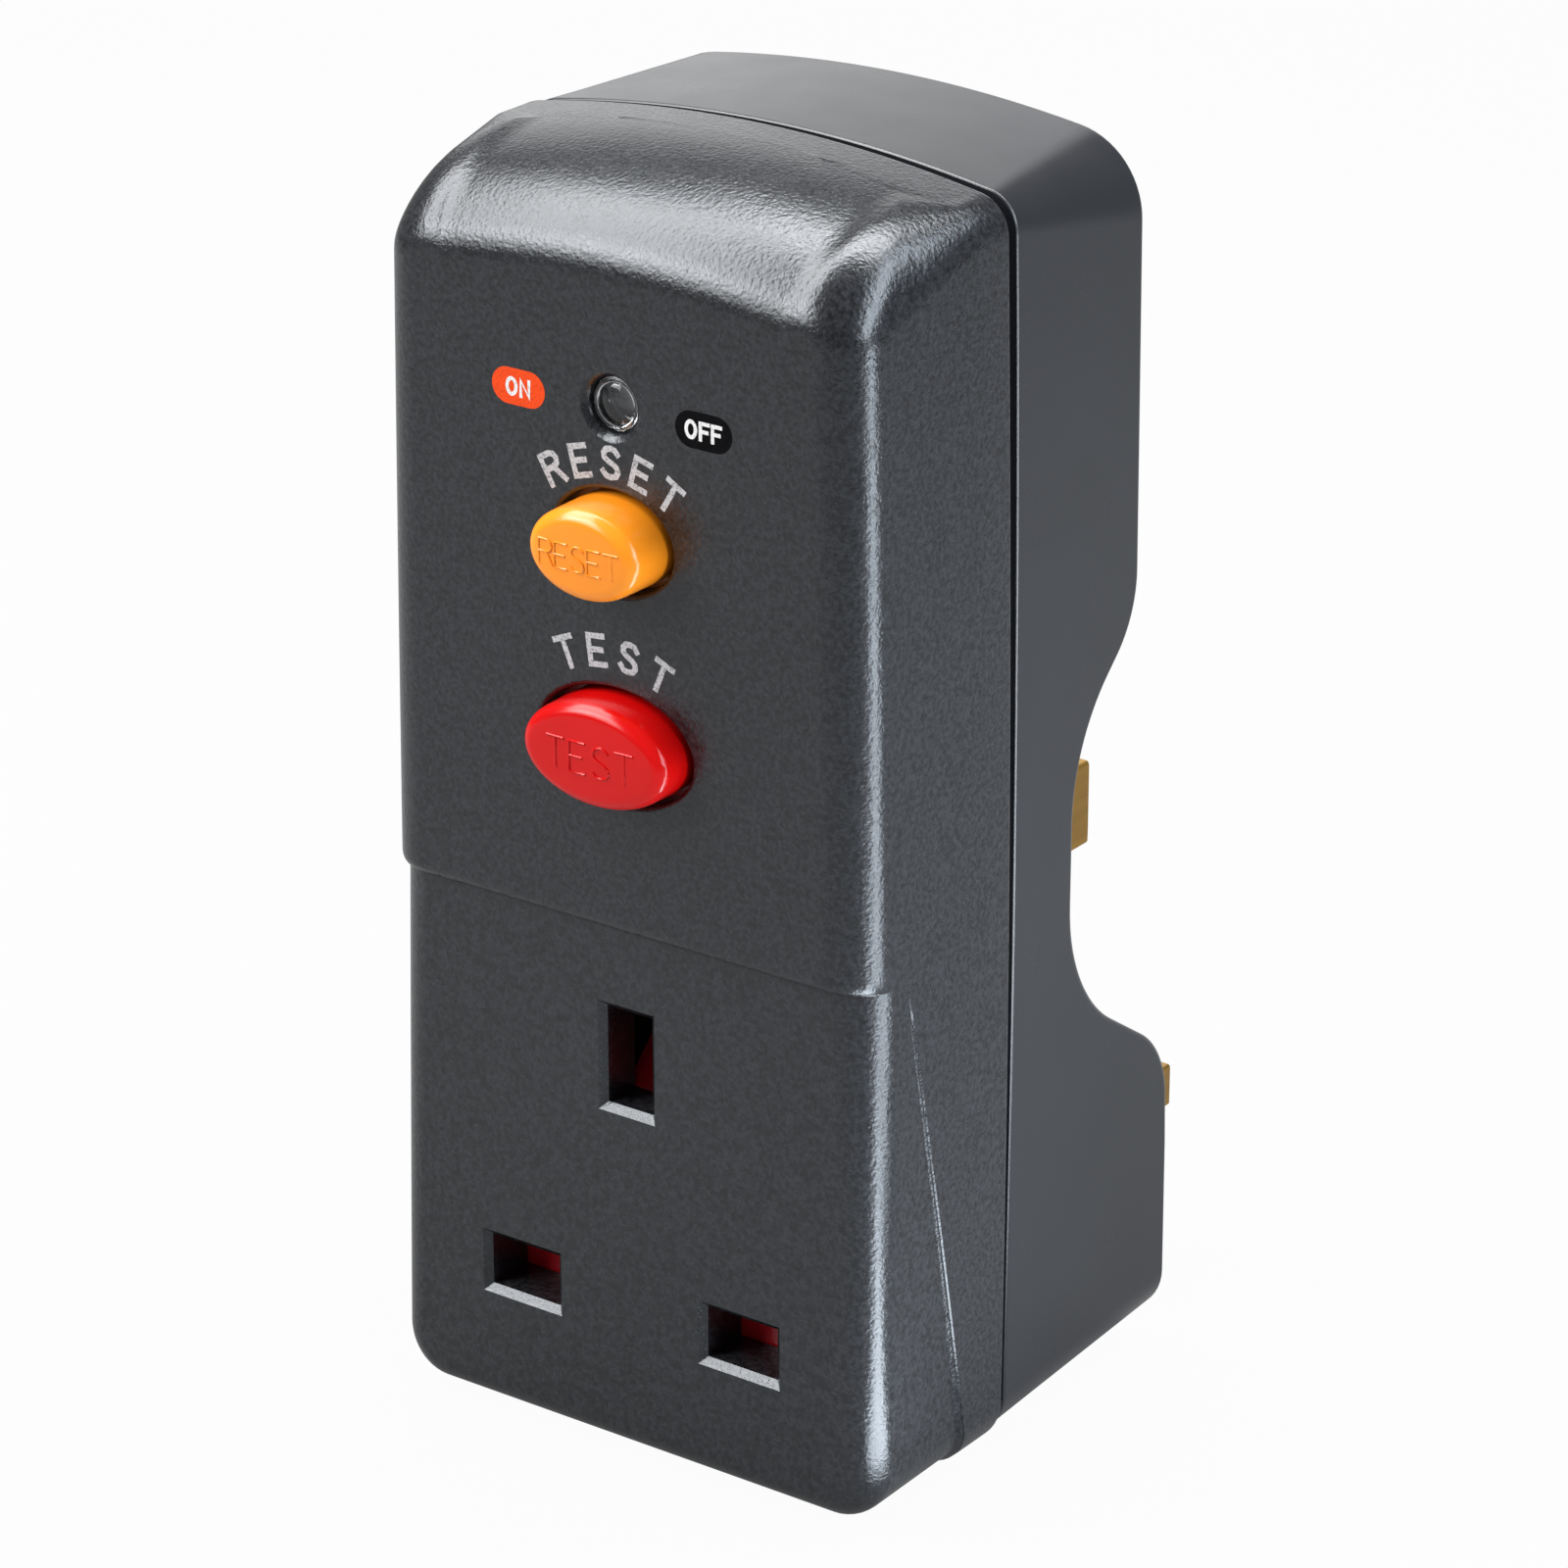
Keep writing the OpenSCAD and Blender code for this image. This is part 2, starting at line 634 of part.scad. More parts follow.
// Insulating plate behind the socket contacts, clamped by the lower case screws
module contact_carrier() {
  y0 = y_joint - joint_gap / 2;
  color([0.85, 0.83, 0.76])
  difference() {
    union() {
      box(-16.4, 16.4, y0, y0 + 1.8, z_ln - 5.4, z_es + 7);
      both() {
        box(14, screw_low[0] + 2.6, y0, y0 + 1.8, screw_low[1] - 2.8, screw_low[1] + 4);
        box(pitch / 2 + 4.1, pitch / 2 + 5.2, y_wing + 3.4, y0 + 1, z_ln - 4, z_ln + 4);
        box(pitch / 2 - 5.2, pitch / 2 - 4.1, y_wing + 3.4, y0 + 1, z_ln - 4, z_ln + 4);
      }
    }
    box(-3.6, 3.6, y0 - 1, y0 + 3, z_es - 4.8, z_es + 4.8);
    both() rod_y(screw_low[0], screw_low[1], y0 - 1, y0 + 3, screw_d + 0.3);
  }
}

// Brass strip: spring clip of the socket, riser and contact pad of the switch
module out_strip() {
  y1 = y_joint - joint_gap / 2;
  x0 = pitch / 2 - 3.3;
  x1 = pitch / 2 + 3.3;
  for (s = [-1, 1]) box(x0, x1, y_wing + 3.1, y1, z_ln + s * 2.5 - 0.4, z_ln + s * 2.5 + 0.4);
  box(x0, x1, y1 - 0.8, y1, z_ln - 2.9, z_ln + 2.9);
  box(x1 - 3, x1, y_strip, y_strip + 0.8, z_ln + 2.5, z_out + 1.1);
  box(3.6, x1, y_strip, y_strip + 0.8, z_out - 1.1, z_out + 1.1);
}
module line_strip() {
  color([0.85, 0.66, 0.3]) union() out_strip();
}
module neutral_strip() {
  color([0.85, 0.66, 0.3]) mirror([1, 0, 0]) union() out_strip();
}

module earth_contact() {
  y0 = y_ramp + shutter_travel + 1.3;
  y1 = y_face + earth_pin_l + 1.1;
  color([0.85, 0.66, 0.3])
  union() {
    for (x = [-2.5, 2.5]) box(x - 0.4, x + 0.4, y0, y1, z_es - 4, z_es + 4);
    box(-2.9, 2.9, y1 - 0.8, y1, z_es - 4, z_es + 4);
    box(-1.2, 1.2, y1 - 0.4, -wall - 6, z_earth - 2.6, z_earth + 1);
  }
}

// Flat pin with a bevelled tip
module pin_blade(w, h, y0, y1) {
  loft([for (s = [[y1, 0.8], [y1 - 1.3, 0], [y0, 0]])
    let (a = w / 2 - s[1], b = h / 2 - s[1])
    [[-a, s[0], -b], [0, s[0], -b], [a, s[0], -b], [a, s[0], b], [-a, s[0], b]]]);
}

module earth_pin() {
  color([0.83, 0.68, 0.36])
  translate([0, 0, z_earth]) union() {
    pin_blade(3.97, 7.92, -wall - 1, earth_pin_l);
    box(-3.1, 3.1, -wall - 1.6, -wall, -5.1, 5.1);
    box(-1.5, 1.5, -wall - 6, -wall - 1, -3, 3);
  }
}

module live_pin() {
  translate([pitch / 2, 0, z_pin]) union() {
    pin_blade(6.35, 3.97, sleeve_l, pin_l);
    box(-2.6, 2.6, -wall - 1, sleeve_l + 0.5, -1.4, 1.4);
    box(-4.3, 4.3, -wall - 1.6, -wall, -3.1, 3.1);
    rod_y(0, 0, -wall - 7.2, -wall - 1, 3.2);
  }
}
module line_pin() {
  color([0.83, 0.68, 0.36]) union() live_pin();
}
module neutral_pin() {
  color([0.83, 0.68, 0.36]) mirror([1, 0, 0]) union() live_pin();
}

module pin_sleeves() {
  color([0.08, 0.08, 0.09])
  both() translate([pitch / 2, 0, z_pin]) difference() {
    box(-3.175, 3.175, -wall, sleeve_l, -1.985, 1.985);
    box(-2.65, 2.65, -wall - 1, sleeve_l + 1, -1.45, 1.45);
  }
}

module pin_retainer() {
  y0 = -wall - 3.4;
  color([0.85, 0.83, 0.76])
  difference() {
    union() {
      box(-pitch / 2 - 4.885, pitch / 2 + 4.885, y0, y0 + 1.8, z_pin - 5, z_pin + 5);
      box(-6.4, 6.4, y0, y0 + 1.8, z_pin, z_earth + 5.2);
    }
    both() rod_y(pitch / 2, z_pin, y0 - 1, y0 + 3, 3.4);
    box(-1.6, 1.6, y0 - 1, y0 + 3, z_earth - 3.1, z_earth + 3.1);
    rod_y(0, z_pin + 7.1, y0 - 1, y0 + 3, 2.4);
  }
}

module retainer_screw() {
  y0 = -wall - 3.4;
  color([0.6, 0.6, 0.62])
  union() {
    rod_y(0, z_pin + 7.1, y0 - 0.2, -1.3, 2.2);
    rod_y(0, z_pin + 7.1, y0 - 1.6, y0, 4.4);
  }
}

// Moulded frame of the switch: front plate, back plate, floor and flag lugs
module mechanism_frame() {
  color([0.9, 0.88, 0.82])
  difference() {
    union() {
      box(-10.4, 10.4, y_plate, y_strip, z_floor, z_reset + 5.7);
      box(-18.8, -10, y_plate, y_strip, z_reset - 1.1, z_reset + 4.5);
      box(7, 18, y_plate, y_strip, z_reset + 6.9, z_reset + 13);
      box(7, 10.4, y_plate, y_strip, z_reset + 5, z_reset + 8);
      box(-3, 3, y_plate, y_strip, z_test - 3, z_floor + 1);
      box(-10.4, 10.4, y_plate, y_back + 1.4, z_floor, z_floor + 1.6);
      box(10, sol_x1, y_plunger - 5.8, y_plunger + 5.8, z_floor, z_floor + 1.6);
      box(-7, 7, y_back, y_tor + 5.6, z_floor, z_floor + 1.6);
      box(-10.4, 10.4, y_back, y_back + 1.4, z_floor, z_reset + 5.7);
      both() {
        box(lug_x, lug_x + 1.2, y_plate, y_flag + 1.8, z_reset + 5, z_window + 2);
      }
    }
    rod_y(0, z_reset, y_plate - 1, y_back + 3, 4.2);
    both() rod_y(7.8, z_reset, y_plate - 1, y_back + 3, 2.06);
    rod_x(y_flag, z_window, -8, 8, 1.6);
    rod_y(-16, z_reset + 1.7, y_plate - 1, y_strip + 1, 2.4);
    rod_y(15, z_reset + 10, y_plate - 1, y_strip + 1, 2.4);
    translate([0, y_tor, z_floor - 1]) cylinder(d = 5.2, h = 4);
  }
}

module frame_screws() {
  color([0.6, 0.6, 0.62])
  union() {
    screw(-16, z_reset + 1.7, y_strip, 5.6, 2.2, 4.2, 1.6);
    screw(15, z_reset + 10, y_strip, 5.6, 2.2, 4.2, 1.6);
  }
}

module guide_pins() {
  color([0.75, 0.76, 0.78])
  both() rod_y(7.8, z_reset, y_plate, y_back + 1.4, 2);
}

module feed() {
  box(3.6, 10, y_strip, y_strip + 0.8, z_feed - 1.1, z_feed + 1.1);
  box(8, 10, y_strip, y_strip + 0.8, z_feed, z_reset + 8.2);
}
module line_feed_contact() {
  color([0.85, 0.66, 0.3]) union() feed();
}
module neutral_feed_contact() {
  color([0.85, 0.66, 0.3]) mirror([1, 0, 0]) union() feed();
}

module fixed_contact_tips() {
  color([0.9, 0.9, 0.92])
  both() for (z = [z_feed, z_out]) rod_y(4.9, z, y_strip + 0.8, y_tips, 2);
}

// Sliding carriage of the moving contacts, with the finger that turns the flag
module contact_carriage() {
  color([0.2, 0.2, 0.22])
  difference() {
    union() {
      box(-9.2, 9.2, y_car, y_latch, z_reset - 5.2, z_reset + 5.2);
      box(-1.4, 1.4, y_flag + 1.85, y_car + 1.6, z_reset + 3.4, z_window - 3.8);
    }
    rod_y(0, z_reset, y_car - 4, y_latch + 1, 4.2);
    both() rod_y(7.8, z_reset, y_car - 1, y_latch + 1, 2.3);
  }
}

module contact_bridges() {
  color([0.85, 0.66, 0.3])
  both() box(3.6, 6.2, y_car - 0.8, y_car, z_reset - 4.8, z_reset + 4.8);
}

module moving_contact_tips() {
  color([0.9, 0.9, 0.92])
  both() for (z = [z_feed, z_out]) rod_y(4.9, z, y_car - 1.3, y_car - 0.8, 2);
}

module carriage_springs() {
  color([0.75, 0.75, 0.77])
  both() translate([7.8, y_car, z_reset]) rotate([90, 0, 0]) coil(3, 0.4, y_car - y_strip, 4);
}

// Latch that holds the carriage to the reset stem
module latch_plate() {
  color([0.7, 0.71, 0.73])
  difference() {
    box(-4.4, latch_x, y_latch, y_latch + 1, z_reset - 2.6, z_reset + 2.6);
    box(-2.2, 2.4 + trip_travel, y_latch - 1, y_latch + 2, z_reset - 1.9, z_reset + 1.9);
    box(6.6, 9 + trip_travel, y_latch - 1, y_latch + 2, z_reset - 1.3, z_reset + 1.3);
  }
}

module solenoid_yoke() {
  y0 = y_plunger - 5.4;
  y1 = y_plunger + 5.4;
  color([0.55, 0.56, 0.58])
  difference() {
    union() {
      box(sol_x0, sol_x1, y0, y1, z_floor + 1.6, z_floor + 2.8);
      box(sol_x0, sol_x0 + 1.2, y0, y1, z_floor + 1.6, z_reset + 5);
      box(sol_x1 - 1.2, sol_x1, y0, y1, z_floor + 1.6, z_reset + 5);
    }
    rod_x(y_plunger, z_reset, sol_x0 - 1, sol_x0 + 2, 4.4);
  }
}

module solenoid_bobbin() {
  x0 = sol_x0 + 1.2;
  x1 = sol_x1 - 1.2;
  color([0.9, 0.88, 0.8])
  difference() {
    union() {
      rod_x(y_plunger, z_reset, x0, x1, 5.6);
      rod_x(y_plunger, z_reset, x0, x0 + 0.8, 10.6);
      rod_x(y_plunger, z_reset, x1 - 0.8, x1, 10.6);
    }
    rod_x(y_plunger, z_reset, x0 - 1, x1 + 1, 4.4);
  }
}

module solenoid_coil() {
  x0 = sol_x0 + 2;
  x1 = sol_x1 - 2;
  color([0.72, 0.4, 0.2])
  difference() {
    rod_x(y_plunger, z_reset, x0, x1, 10.2);
    rod_x(y_plunger, z_reset, x0 - 1, x1 + 1, 5.6);
  }
}

module trip_plunger() {
  color([0.75, 0.76, 0.78])
  rod_x(y_plunger, z_reset, latch_x + 0.1, sol_x1 - 2, 4);
}

module toroid_core() {
  color([0.3, 0.3, 0.32])
  translate([0, y_tor, z_floor + 2.4]) rotate_extrude()
  translate([3.2, 0]) square([toroid_d / 2 - 4, 6.4]);
}

module toroid_winding() {
  color([0.72, 0.4, 0.2])
  translate([0, y_tor, z_floor + 1.6]) rotate_extrude() difference() {
    translate([2.4, 0]) square([toroid_d / 2 - 2.4, 8]);
    translate([3.2, 0.8]) square([toroid_d / 2 - 4, 6.4]);
  }
}

function lead_path() = [
  [pitch / 2, -wall - 7.2, z_pin],
  [pitch / 2, -wall - 12, z_pin],
  [pitch / 2, y_joint + 4, z_pin + 1],
  [9.4, y_joint + 3.4, z_pin + 8],
  [9, y_joint + 3.4, z_step],
  [7, y_joint + 3.6, z_floor - 10],
  [1.15, y_tor, z_floor - 6],
  [1.15, y_tor, z_floor + 2],
  [1.15, y_tor, z_floor + 11],
  [2, y_tor - 1, z_lead - 0.6],
  [9, y_tor - 6, z_lead],
  [9, y_car - 1, z_reset + 6.9],
  [9, y_strip + 0.8, z_reset + 6.9]
];
module line_lead() {
  color([0.45, 0.22, 0.1]) lead(lead_path(), lead_d);
}
module neutral_lead() {
  color([0.1, 0.2, 0.6]) mirror([1, 0, 0]) lead(lead_path(), lead_d);
}

module circuit_board() {
  color([0.1, 0.35, 0.2])
  difference() {
    box(-board_hw, board_hw, y_board, y_board + 1.6, z_top - 19, z_top - 5.2);
    both() for (d = [7.6, 16.6]) rod_y(post_x, z_top - d, y_board - 1, y_board + 3, 2);
  }
}

module amplifier_chip() {
  color([0.08, 0.08, 0.09])
  box(-5, 4.6, y_board + 1.6, y_board + 4.8, z_top - 18.2, z_top - 12);
}

module reservoir_capacitor() {
  color([0.15, 0.2, 0.5])
  rod_y(3, z_top - 8.6, y_board + 1.6, y_board + 10.6, 6);
}

module surge_varistor() {
  color([0.15, 0.35, 0.7])
  translate([-3.1, y_board + 4.6, z_top - 8.3]) cylinder(d = 6, h = 2.6, center = true);
}

module thyristor() {
  color([0.1, 0.1, 0.11])
  difference() {
    rod_y(-post_x, z_top - 12.1, y_board + 1.6, y_board + 6.4, 4.6);
    box(-post_x - 4, -post_x - 1.3, y_board, y_board + 8, z_top - 16, z_top - 8);
  }
}

module board_resistors() {
  color([0.8, 0.68, 0.5])
  for (z = [-13.5, -11.1]) rod_x(y_board + 2.7, z_top + z, 6.2, board_hw - 0.6, 2.2);
}

// Sector that shows its dark or its bright band behind the window
function on_flag(r, a) = [y_flag - r * cos(a), z_window + r * sin(a)];
module sector(r0, r1, x0, x1, a0, a1) {
  along_x(x0, x1) polygon(concat(
    [for (i = [0 : 10]) on_flag(r1, mix(a0, a1, i / 10))],
    r0 > 0 ? [for (i = [10 : -1 : 0]) on_flag(r0, mix(a0, a1, i / 10))] : [[y_flag, z_window]]
  ));
}

module indicator_flag() {
  color([0.05, 0.05, 0.06])
  difference() {
    union() {
      sector(flag_r - 0.8, flag_r, -3.2, 3.2, -14, 18);
      sector(flag_r - 0.8, flag_r - 0.4, -3.2, 3.2, -46, -13);
      sector(0, flag_r - 0.6, -0.7, 0.7, -46, 18);
      rod_x(y_flag, z_window, -3.9, 3.9, 3);
      box(-1.2, 1.2, y_flag + 0.3, y_flag + 1.7, z_window - 4.9, z_window);
    }
    rod_x(y_flag, z_window, -5, 5, 1.8);
  }
}

module flag_band() {
  color([0.95, 0.45, 0.05])
  sector(flag_r - 0.4, flag_r, -3.2, 3.2, -46, -14);
}

module flag_pivot() {
  color([0.75, 0.76, 0.78])
  rod_x(y_flag, z_window, -lug_x - 1.2, lug_x + 1.2, 1.5);
}

front_cover();
rear_cover();
case_screws();
indicator_lens();
reset_button();
reset_spring();
test_button();
test_blade();
blade_rivet();
test_contact();
shutter();
shutter_spring();
contact_carrier();
line_strip();
neutral_strip();
earth_contact();
earth_pin();
line_pin();
neutral_pin();
pin_sleeves();
pin_retainer();
retainer_screw();
mechanism_frame();
frame_screws();
guide_pins();
line_feed_contact();
neutral_feed_contact();
fixed_contact_tips();
contact_carriage();
contact_bridges();
moving_contact_tips();
carriage_springs();
latch_plate();
solenoid_yoke();
solenoid_bobbin();
solenoid_coil();
trip_plunger();
toroid_core();
toroid_winding();
line_lead();
neutral_lead();
circuit_board();
amplifier_chip();
reservoir_capacitor();
surge_varistor();
thyristor();
board_resistors();
indicator_flag();
flag_band();
flag_pivot();
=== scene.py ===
import math
from contextlib import contextmanager
import bmesh
import bpy
import numpy as np
from mathutils import Matrix, Vector


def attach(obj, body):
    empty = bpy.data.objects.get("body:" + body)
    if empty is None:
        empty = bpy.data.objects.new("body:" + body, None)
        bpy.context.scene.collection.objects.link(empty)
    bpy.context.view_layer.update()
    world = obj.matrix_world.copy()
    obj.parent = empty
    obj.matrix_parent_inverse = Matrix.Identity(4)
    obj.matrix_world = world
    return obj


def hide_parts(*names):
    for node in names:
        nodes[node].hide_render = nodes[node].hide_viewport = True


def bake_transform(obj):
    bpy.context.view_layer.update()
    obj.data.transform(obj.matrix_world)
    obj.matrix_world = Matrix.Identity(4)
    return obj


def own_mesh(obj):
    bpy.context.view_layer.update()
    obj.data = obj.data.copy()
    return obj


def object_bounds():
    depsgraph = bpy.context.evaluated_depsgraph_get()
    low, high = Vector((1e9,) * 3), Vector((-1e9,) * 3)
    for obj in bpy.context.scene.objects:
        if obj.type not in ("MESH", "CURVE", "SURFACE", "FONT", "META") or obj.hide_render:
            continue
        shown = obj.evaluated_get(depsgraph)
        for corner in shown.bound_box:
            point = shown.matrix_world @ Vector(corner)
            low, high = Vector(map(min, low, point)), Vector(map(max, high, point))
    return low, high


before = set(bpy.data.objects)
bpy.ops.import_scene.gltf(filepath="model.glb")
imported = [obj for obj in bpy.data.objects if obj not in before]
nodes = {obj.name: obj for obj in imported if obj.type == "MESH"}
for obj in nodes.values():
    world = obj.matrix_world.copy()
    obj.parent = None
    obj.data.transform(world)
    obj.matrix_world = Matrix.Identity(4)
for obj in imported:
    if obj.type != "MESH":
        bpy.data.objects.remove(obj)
cad_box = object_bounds()
scene = bpy.context.scene
MM = 0.001
QUARTER = math.pi / 2

# ---- sizes of the case in millimetres, as in the part ----

HW, CROWN, WALL = 24.8, 121.0, 2.2  # half width, radius of the crowned top, wall
PITCH = 22.23  # of the pins and of the slots
Y_FACE, Y_PANEL, Y_JOINT = -43.4, -44.4, -24.5  # socket face, button panel, joint of the covers
Y_HOUSE, Y_NECK = -5.8, -15.0  # back of the upper housing, bottom of the finger scallops
Y_IN, Y_PANEL_IN = -41.2, -42.2  # inside of the socket face and of the panel
Y_WING, Y_RAMP = -38.1, -39.1  # front of the shutter behind the lower slots and the earth slot
Y_RIM = Y_JOINT - 4.8  # front end of the front cover's straight rim
Z_PIN, Z_EARTH = -PITCH / 2, PITCH / 2
Z_LN = Z_PIN - 1.0  # line and neutral slots
Z_ES = Z_LN + PITCH  # earth slot
Z_BOT = Z_PIN - 14.5
Z_TOP = Z_BOT + 110.0
Z_STEP = Z_LN + 34.2  # step from the socket face to the panel
Z_TEST, Z_RESET, Z_WINDOW = Z_TOP - 46.4, Z_TOP - 29.3, Z_TOP - 18.2
Z_MARKS = Z_LN + 78.1  # ON and OFF
Z_SHOULDER, Z_LOW, Z_CHIN = Z_PIN + 12.8, Z_PIN + 22.9, Z_TOP - 41.8  # corners of the finger scallop
Z_HIGH = Z_CHIN - 8.6
TEST_W, TEST_H, TEST_OUT, TEST_EDGE = 15.0, 9.6, 3.3, 1.2
RESET_W, RESET_H, RESET_OUT, RESET_EDGE = 11.5, 8.4, 4.4, 1.25
TEST_STEM, RESET_STEM = (3.6, -39.1), (3.2, -26.25)  # diameter and back end
CAP_BASE, CAP_FACE, CAP_DOME = 0.4, 0.45, 0.12  # insets of a cap's base and face, rise of its face
LN_SLOT, EARTH_SLOT = (7.0, 4.6), (4.5, 8.55)
FILLET = 0.8  # of the tower round the earth pin
RIM_ROUND = 0.6  # of the front cover's back edge
TOP_STEP = 1.8  # from the joint's top down to the face's


def mix(a, b, f):
    return a + (b - a) * f


def lookup(x, table):
    return float(np.interp(x, [t[0] for t in table], [t[1] for t in table]))


# ---- outlines: points (x, z, direction of the outward normal), from bottom to top and down again ----

def bend(p0, p1, p2, r, n):
    """Points of the arc of radius r that rounds the corner p1 between p0 and p2."""
    p0, p1, p2 = (np.array(p, float) for p in (p0, p1, p2))
    u = (p1 - p0) / np.linalg.norm(p1 - p0)
    v = (p2 - p1) / np.linalg.norm(p2 - p1)
    s = np.sign(u[0] * v[1] - u[1] * v[0])
    turn = math.acos(float(np.clip(u @ v, -1, 1)))
    side = s * np.array([-u[1], u[0]])
    mid = p1 - u * r * math.tan(turn / 2) + side * r
    w = -side * r
    out = []
    for i in range(n + 1):
        c, k = math.cos(s * turn * i / n), math.sin(s * turn * i / n)
        out.append(mid + np.array([w[0] * c - w[1] * k, w[0] * k + w[1] * c]))
    return out


def arc(cx, cz, r, a0, a1, n):
    out = []
    for i in range(n + 1):
        a = math.radians(mix(a0, a1, i / n))
        out.append((cx + r * math.cos(a), cz + r * math.sin(a), a))
    return out


def mirrored(half):
    return half + [(-x, z, math.pi - a) for x, z, a in half[-2::-1]]


def outline(hb, ht, bow, zb, zt, rt, rb, levels):
    """Case outline: half widths at the bottom and top, bow of the sides, bottom, top, and the corners' radii.
    levels are the heights of the points along the sides."""
    lean = math.degrees(math.asin((ht - rt) / (CROWN - rt)))
    cz = zt - CROWN + math.sqrt((CROWN - rt) ** 2 - (ht - rt) ** 2)
    half = arc(hb - rb, zb + rb, rb, -90, 0, 12)
    for z in levels:
        f = (z - zb - rb) / (cz - zb - rb)
        half.append((mix(hb, ht, f) + bow * 4 * f * (1 - f), z, 0.0))
    half += arc(ht - rt, cz, rt, 0, 90 - lean, 14)
    half += arc(0, zt - CROWN, CROWN, 90 - lean, 90, 16)[1:]
    return mirrored(half)


def at_joint(d, levels):
    return outline(HW - 0.25 - d, HW - 0.8 - d, 0.45, Z_BOT + d, Z_TOP - d, 3.3, 4.5, levels)


def at_front(d, levels):
    return outline(HW - 0.3 - d, HW - 1.6 - d, 0.15, Z_BOT + 0.35 + d, Z_TOP - TOP_STEP - d,
                   7 - d, 4.5 - d, levels)


def at_back(d, levels):
    return outline(HW - 0.35 - d, HW - 0.95 - d, 0.1, Z_BOT + 1.8 + d, Z_TOP - 0.4 - d,
                   7 - d, 4.5 - d, levels)


def inset(p, d):
    return p[0] - d * math.cos(p[2]), p[1] - d * math.sin(p[2])


def ring(points, d, y):
    """Outline moved in by d, at depth y, which is a number or a function of the height."""
    out = []
    for p in points:
        x, z = inset(p, d)
        out.append((x, y(p[1]) if callable(y) else y, z))
    return out


def oval(a, b, n=81):
    angles = (math.radians(-90 + 360 * (i + 0.5) / n) for i in range(n))
    return [(a * math.cos(t), b * math.sin(t)) for t in angles]


def oval_rings(w, h, z, profile, n=81):
    """Rings of an oval of width w and height h, one for each (y, inset) of the profile."""
    return [[(x, y, z + q) for x, q in oval(w / 2 - d, h / 2 - d, n)] for y, d in profile]


def rectangle(x, z, w, h):
    return [(x - w / 2, z - h / 2), (x + w / 2, z - h / 2), (x + w / 2, z + h / 2), (x - w / 2, z + h / 2)]


# ---- meshes ----

@contextmanager
def editing(me):
    """Opens a mesh for editing, and writes it back."""
    bm = bmesh.new()
    bm.from_mesh(me)
    yield bm
    bm.to_mesh(me)
    bm.free()


def mesh_from(verts, faces):
    me = bpy.data.meshes.new("m")
    me.from_pydata([(x * MM, y * MM, z * MM) for x, y, z in verts], [], faces)
    with editing(me) as bm:
        bmesh.ops.remove_doubles(bm, verts=bm.verts, dist=1e-7)
        bmesh.ops.dissolve_degenerate(bm, edges=bm.edges, dist=1e-8)
        bmesh.ops.recalc_face_normals(bm, faces=bm.faces)
    return me


def loft(rings, flats=None):
    """Closed mesh through rings of an odd number of points, capped in strips from side to side.
    flats = (i, j): on the last ring, all below point i and all above point j is one flat face each."""
    n, m = len(rings[0]), len(rings)
    h = (n - 1) // 2
    faces = []
    for i in range(m - 1):
        for j in range(n):
            a, b = i * n + j, i * n + (j + 1) % n
            faces.append((a, b, b + n, a + n))
    for o in (0, (m - 1) * n):
        lo, hi = flats if flats and o else (0, h - 1)
        if flats and o:
            faces.append([o + k for k in range(lo + 1)] + [o + n - 1 - k for k in range(lo, -1, -1)])
            faces.append([o + k for k in range(hi, n - hi)])
        else:
            faces.append((o + h - 1, o + h, o + h + 1))
        for k in range(lo, hi):
            faces.append((o + k, o + k + 1, o + n - 2 - k, o + n - 1 - k))
    return mesh_from([p for r in rings for p in r], faces)


def prism(points, y0, y1):
    """Closed mesh of a convex outline in X and Z, from y0 to y1."""
    n = len(points)
    verts = [(x, y0, z) for x, z in points] + [(x, y1, z) for x, z in points]
    faces = [tuple(range(n)), tuple(range(n, 2 * n))]
    faces += [(i, (i + 1) % n, n + (i + 1) % n, n + i) for i in range(n)]
    return mesh_from(verts, faces)


def lathe_y(x, z, profile, n=48):
    """Closed turned mesh about a line along Y, from (radius, y) pairs, with flat ends."""
    verts, faces = [], []
    for r, y in profile:
        for i in range(n):
            a = 2 * math.pi * i / n
            verts.append((x + r * math.cos(a), y, z + r * math.sin(a)))
    for k in range(len(profile) - 1):
        for i in range(n):
            j = (i + 1) % n
            faces.append((k * n + i, k * n + j, (k + 1) * n + j, (k + 1) * n + i))
    faces.append(tuple(range(n)))
    faces.append(tuple(range((len(profile) - 1) * n, len(profile) * n)))
    return mesh_from(verts, faces)


def put(name, data):
    ob = bpy.data.objects.new(name, data)
    ob.data.name = name
    scene.collection.objects.link(ob)
    return ob


def apply_modifiers(ob):
    me = bpy.data.meshes.new_from_object(ob.evaluated_get(bpy.context.evaluated_depsgraph_get()))
    ob.modifiers.clear()
    ob.data = me
    me.name = ob.name


def combine(ob, tool_mesh, how="DIFFERENCE"):
    """Cuts or joins a closed mesh, and keeps the result in ob."""
    tool = put("tool", tool_mesh)
    mod = ob.modifiers.new("cut", "BOOLEAN")
    mod.object = tool
    mod.operation = how
    mod.solver = "EXACT"
    apply_modifiers(ob)
    bpy.data.objects.remove(tool)


def shade(ob, angle=30, weighted=True):
    """Smooth shading with sharp edges above an angle, and flat faces kept flat where weighted."""
    me = ob.data
    me.shade_smooth()
    me.set_sharp_from_angle(angle=math.radians(angle))
    if weighted:
        mod = ob.modifiers.new("normals", "WEIGHTED_NORMAL")
        mod.keep_sharp = True
        mod.weight = 60


# ---- materials ----

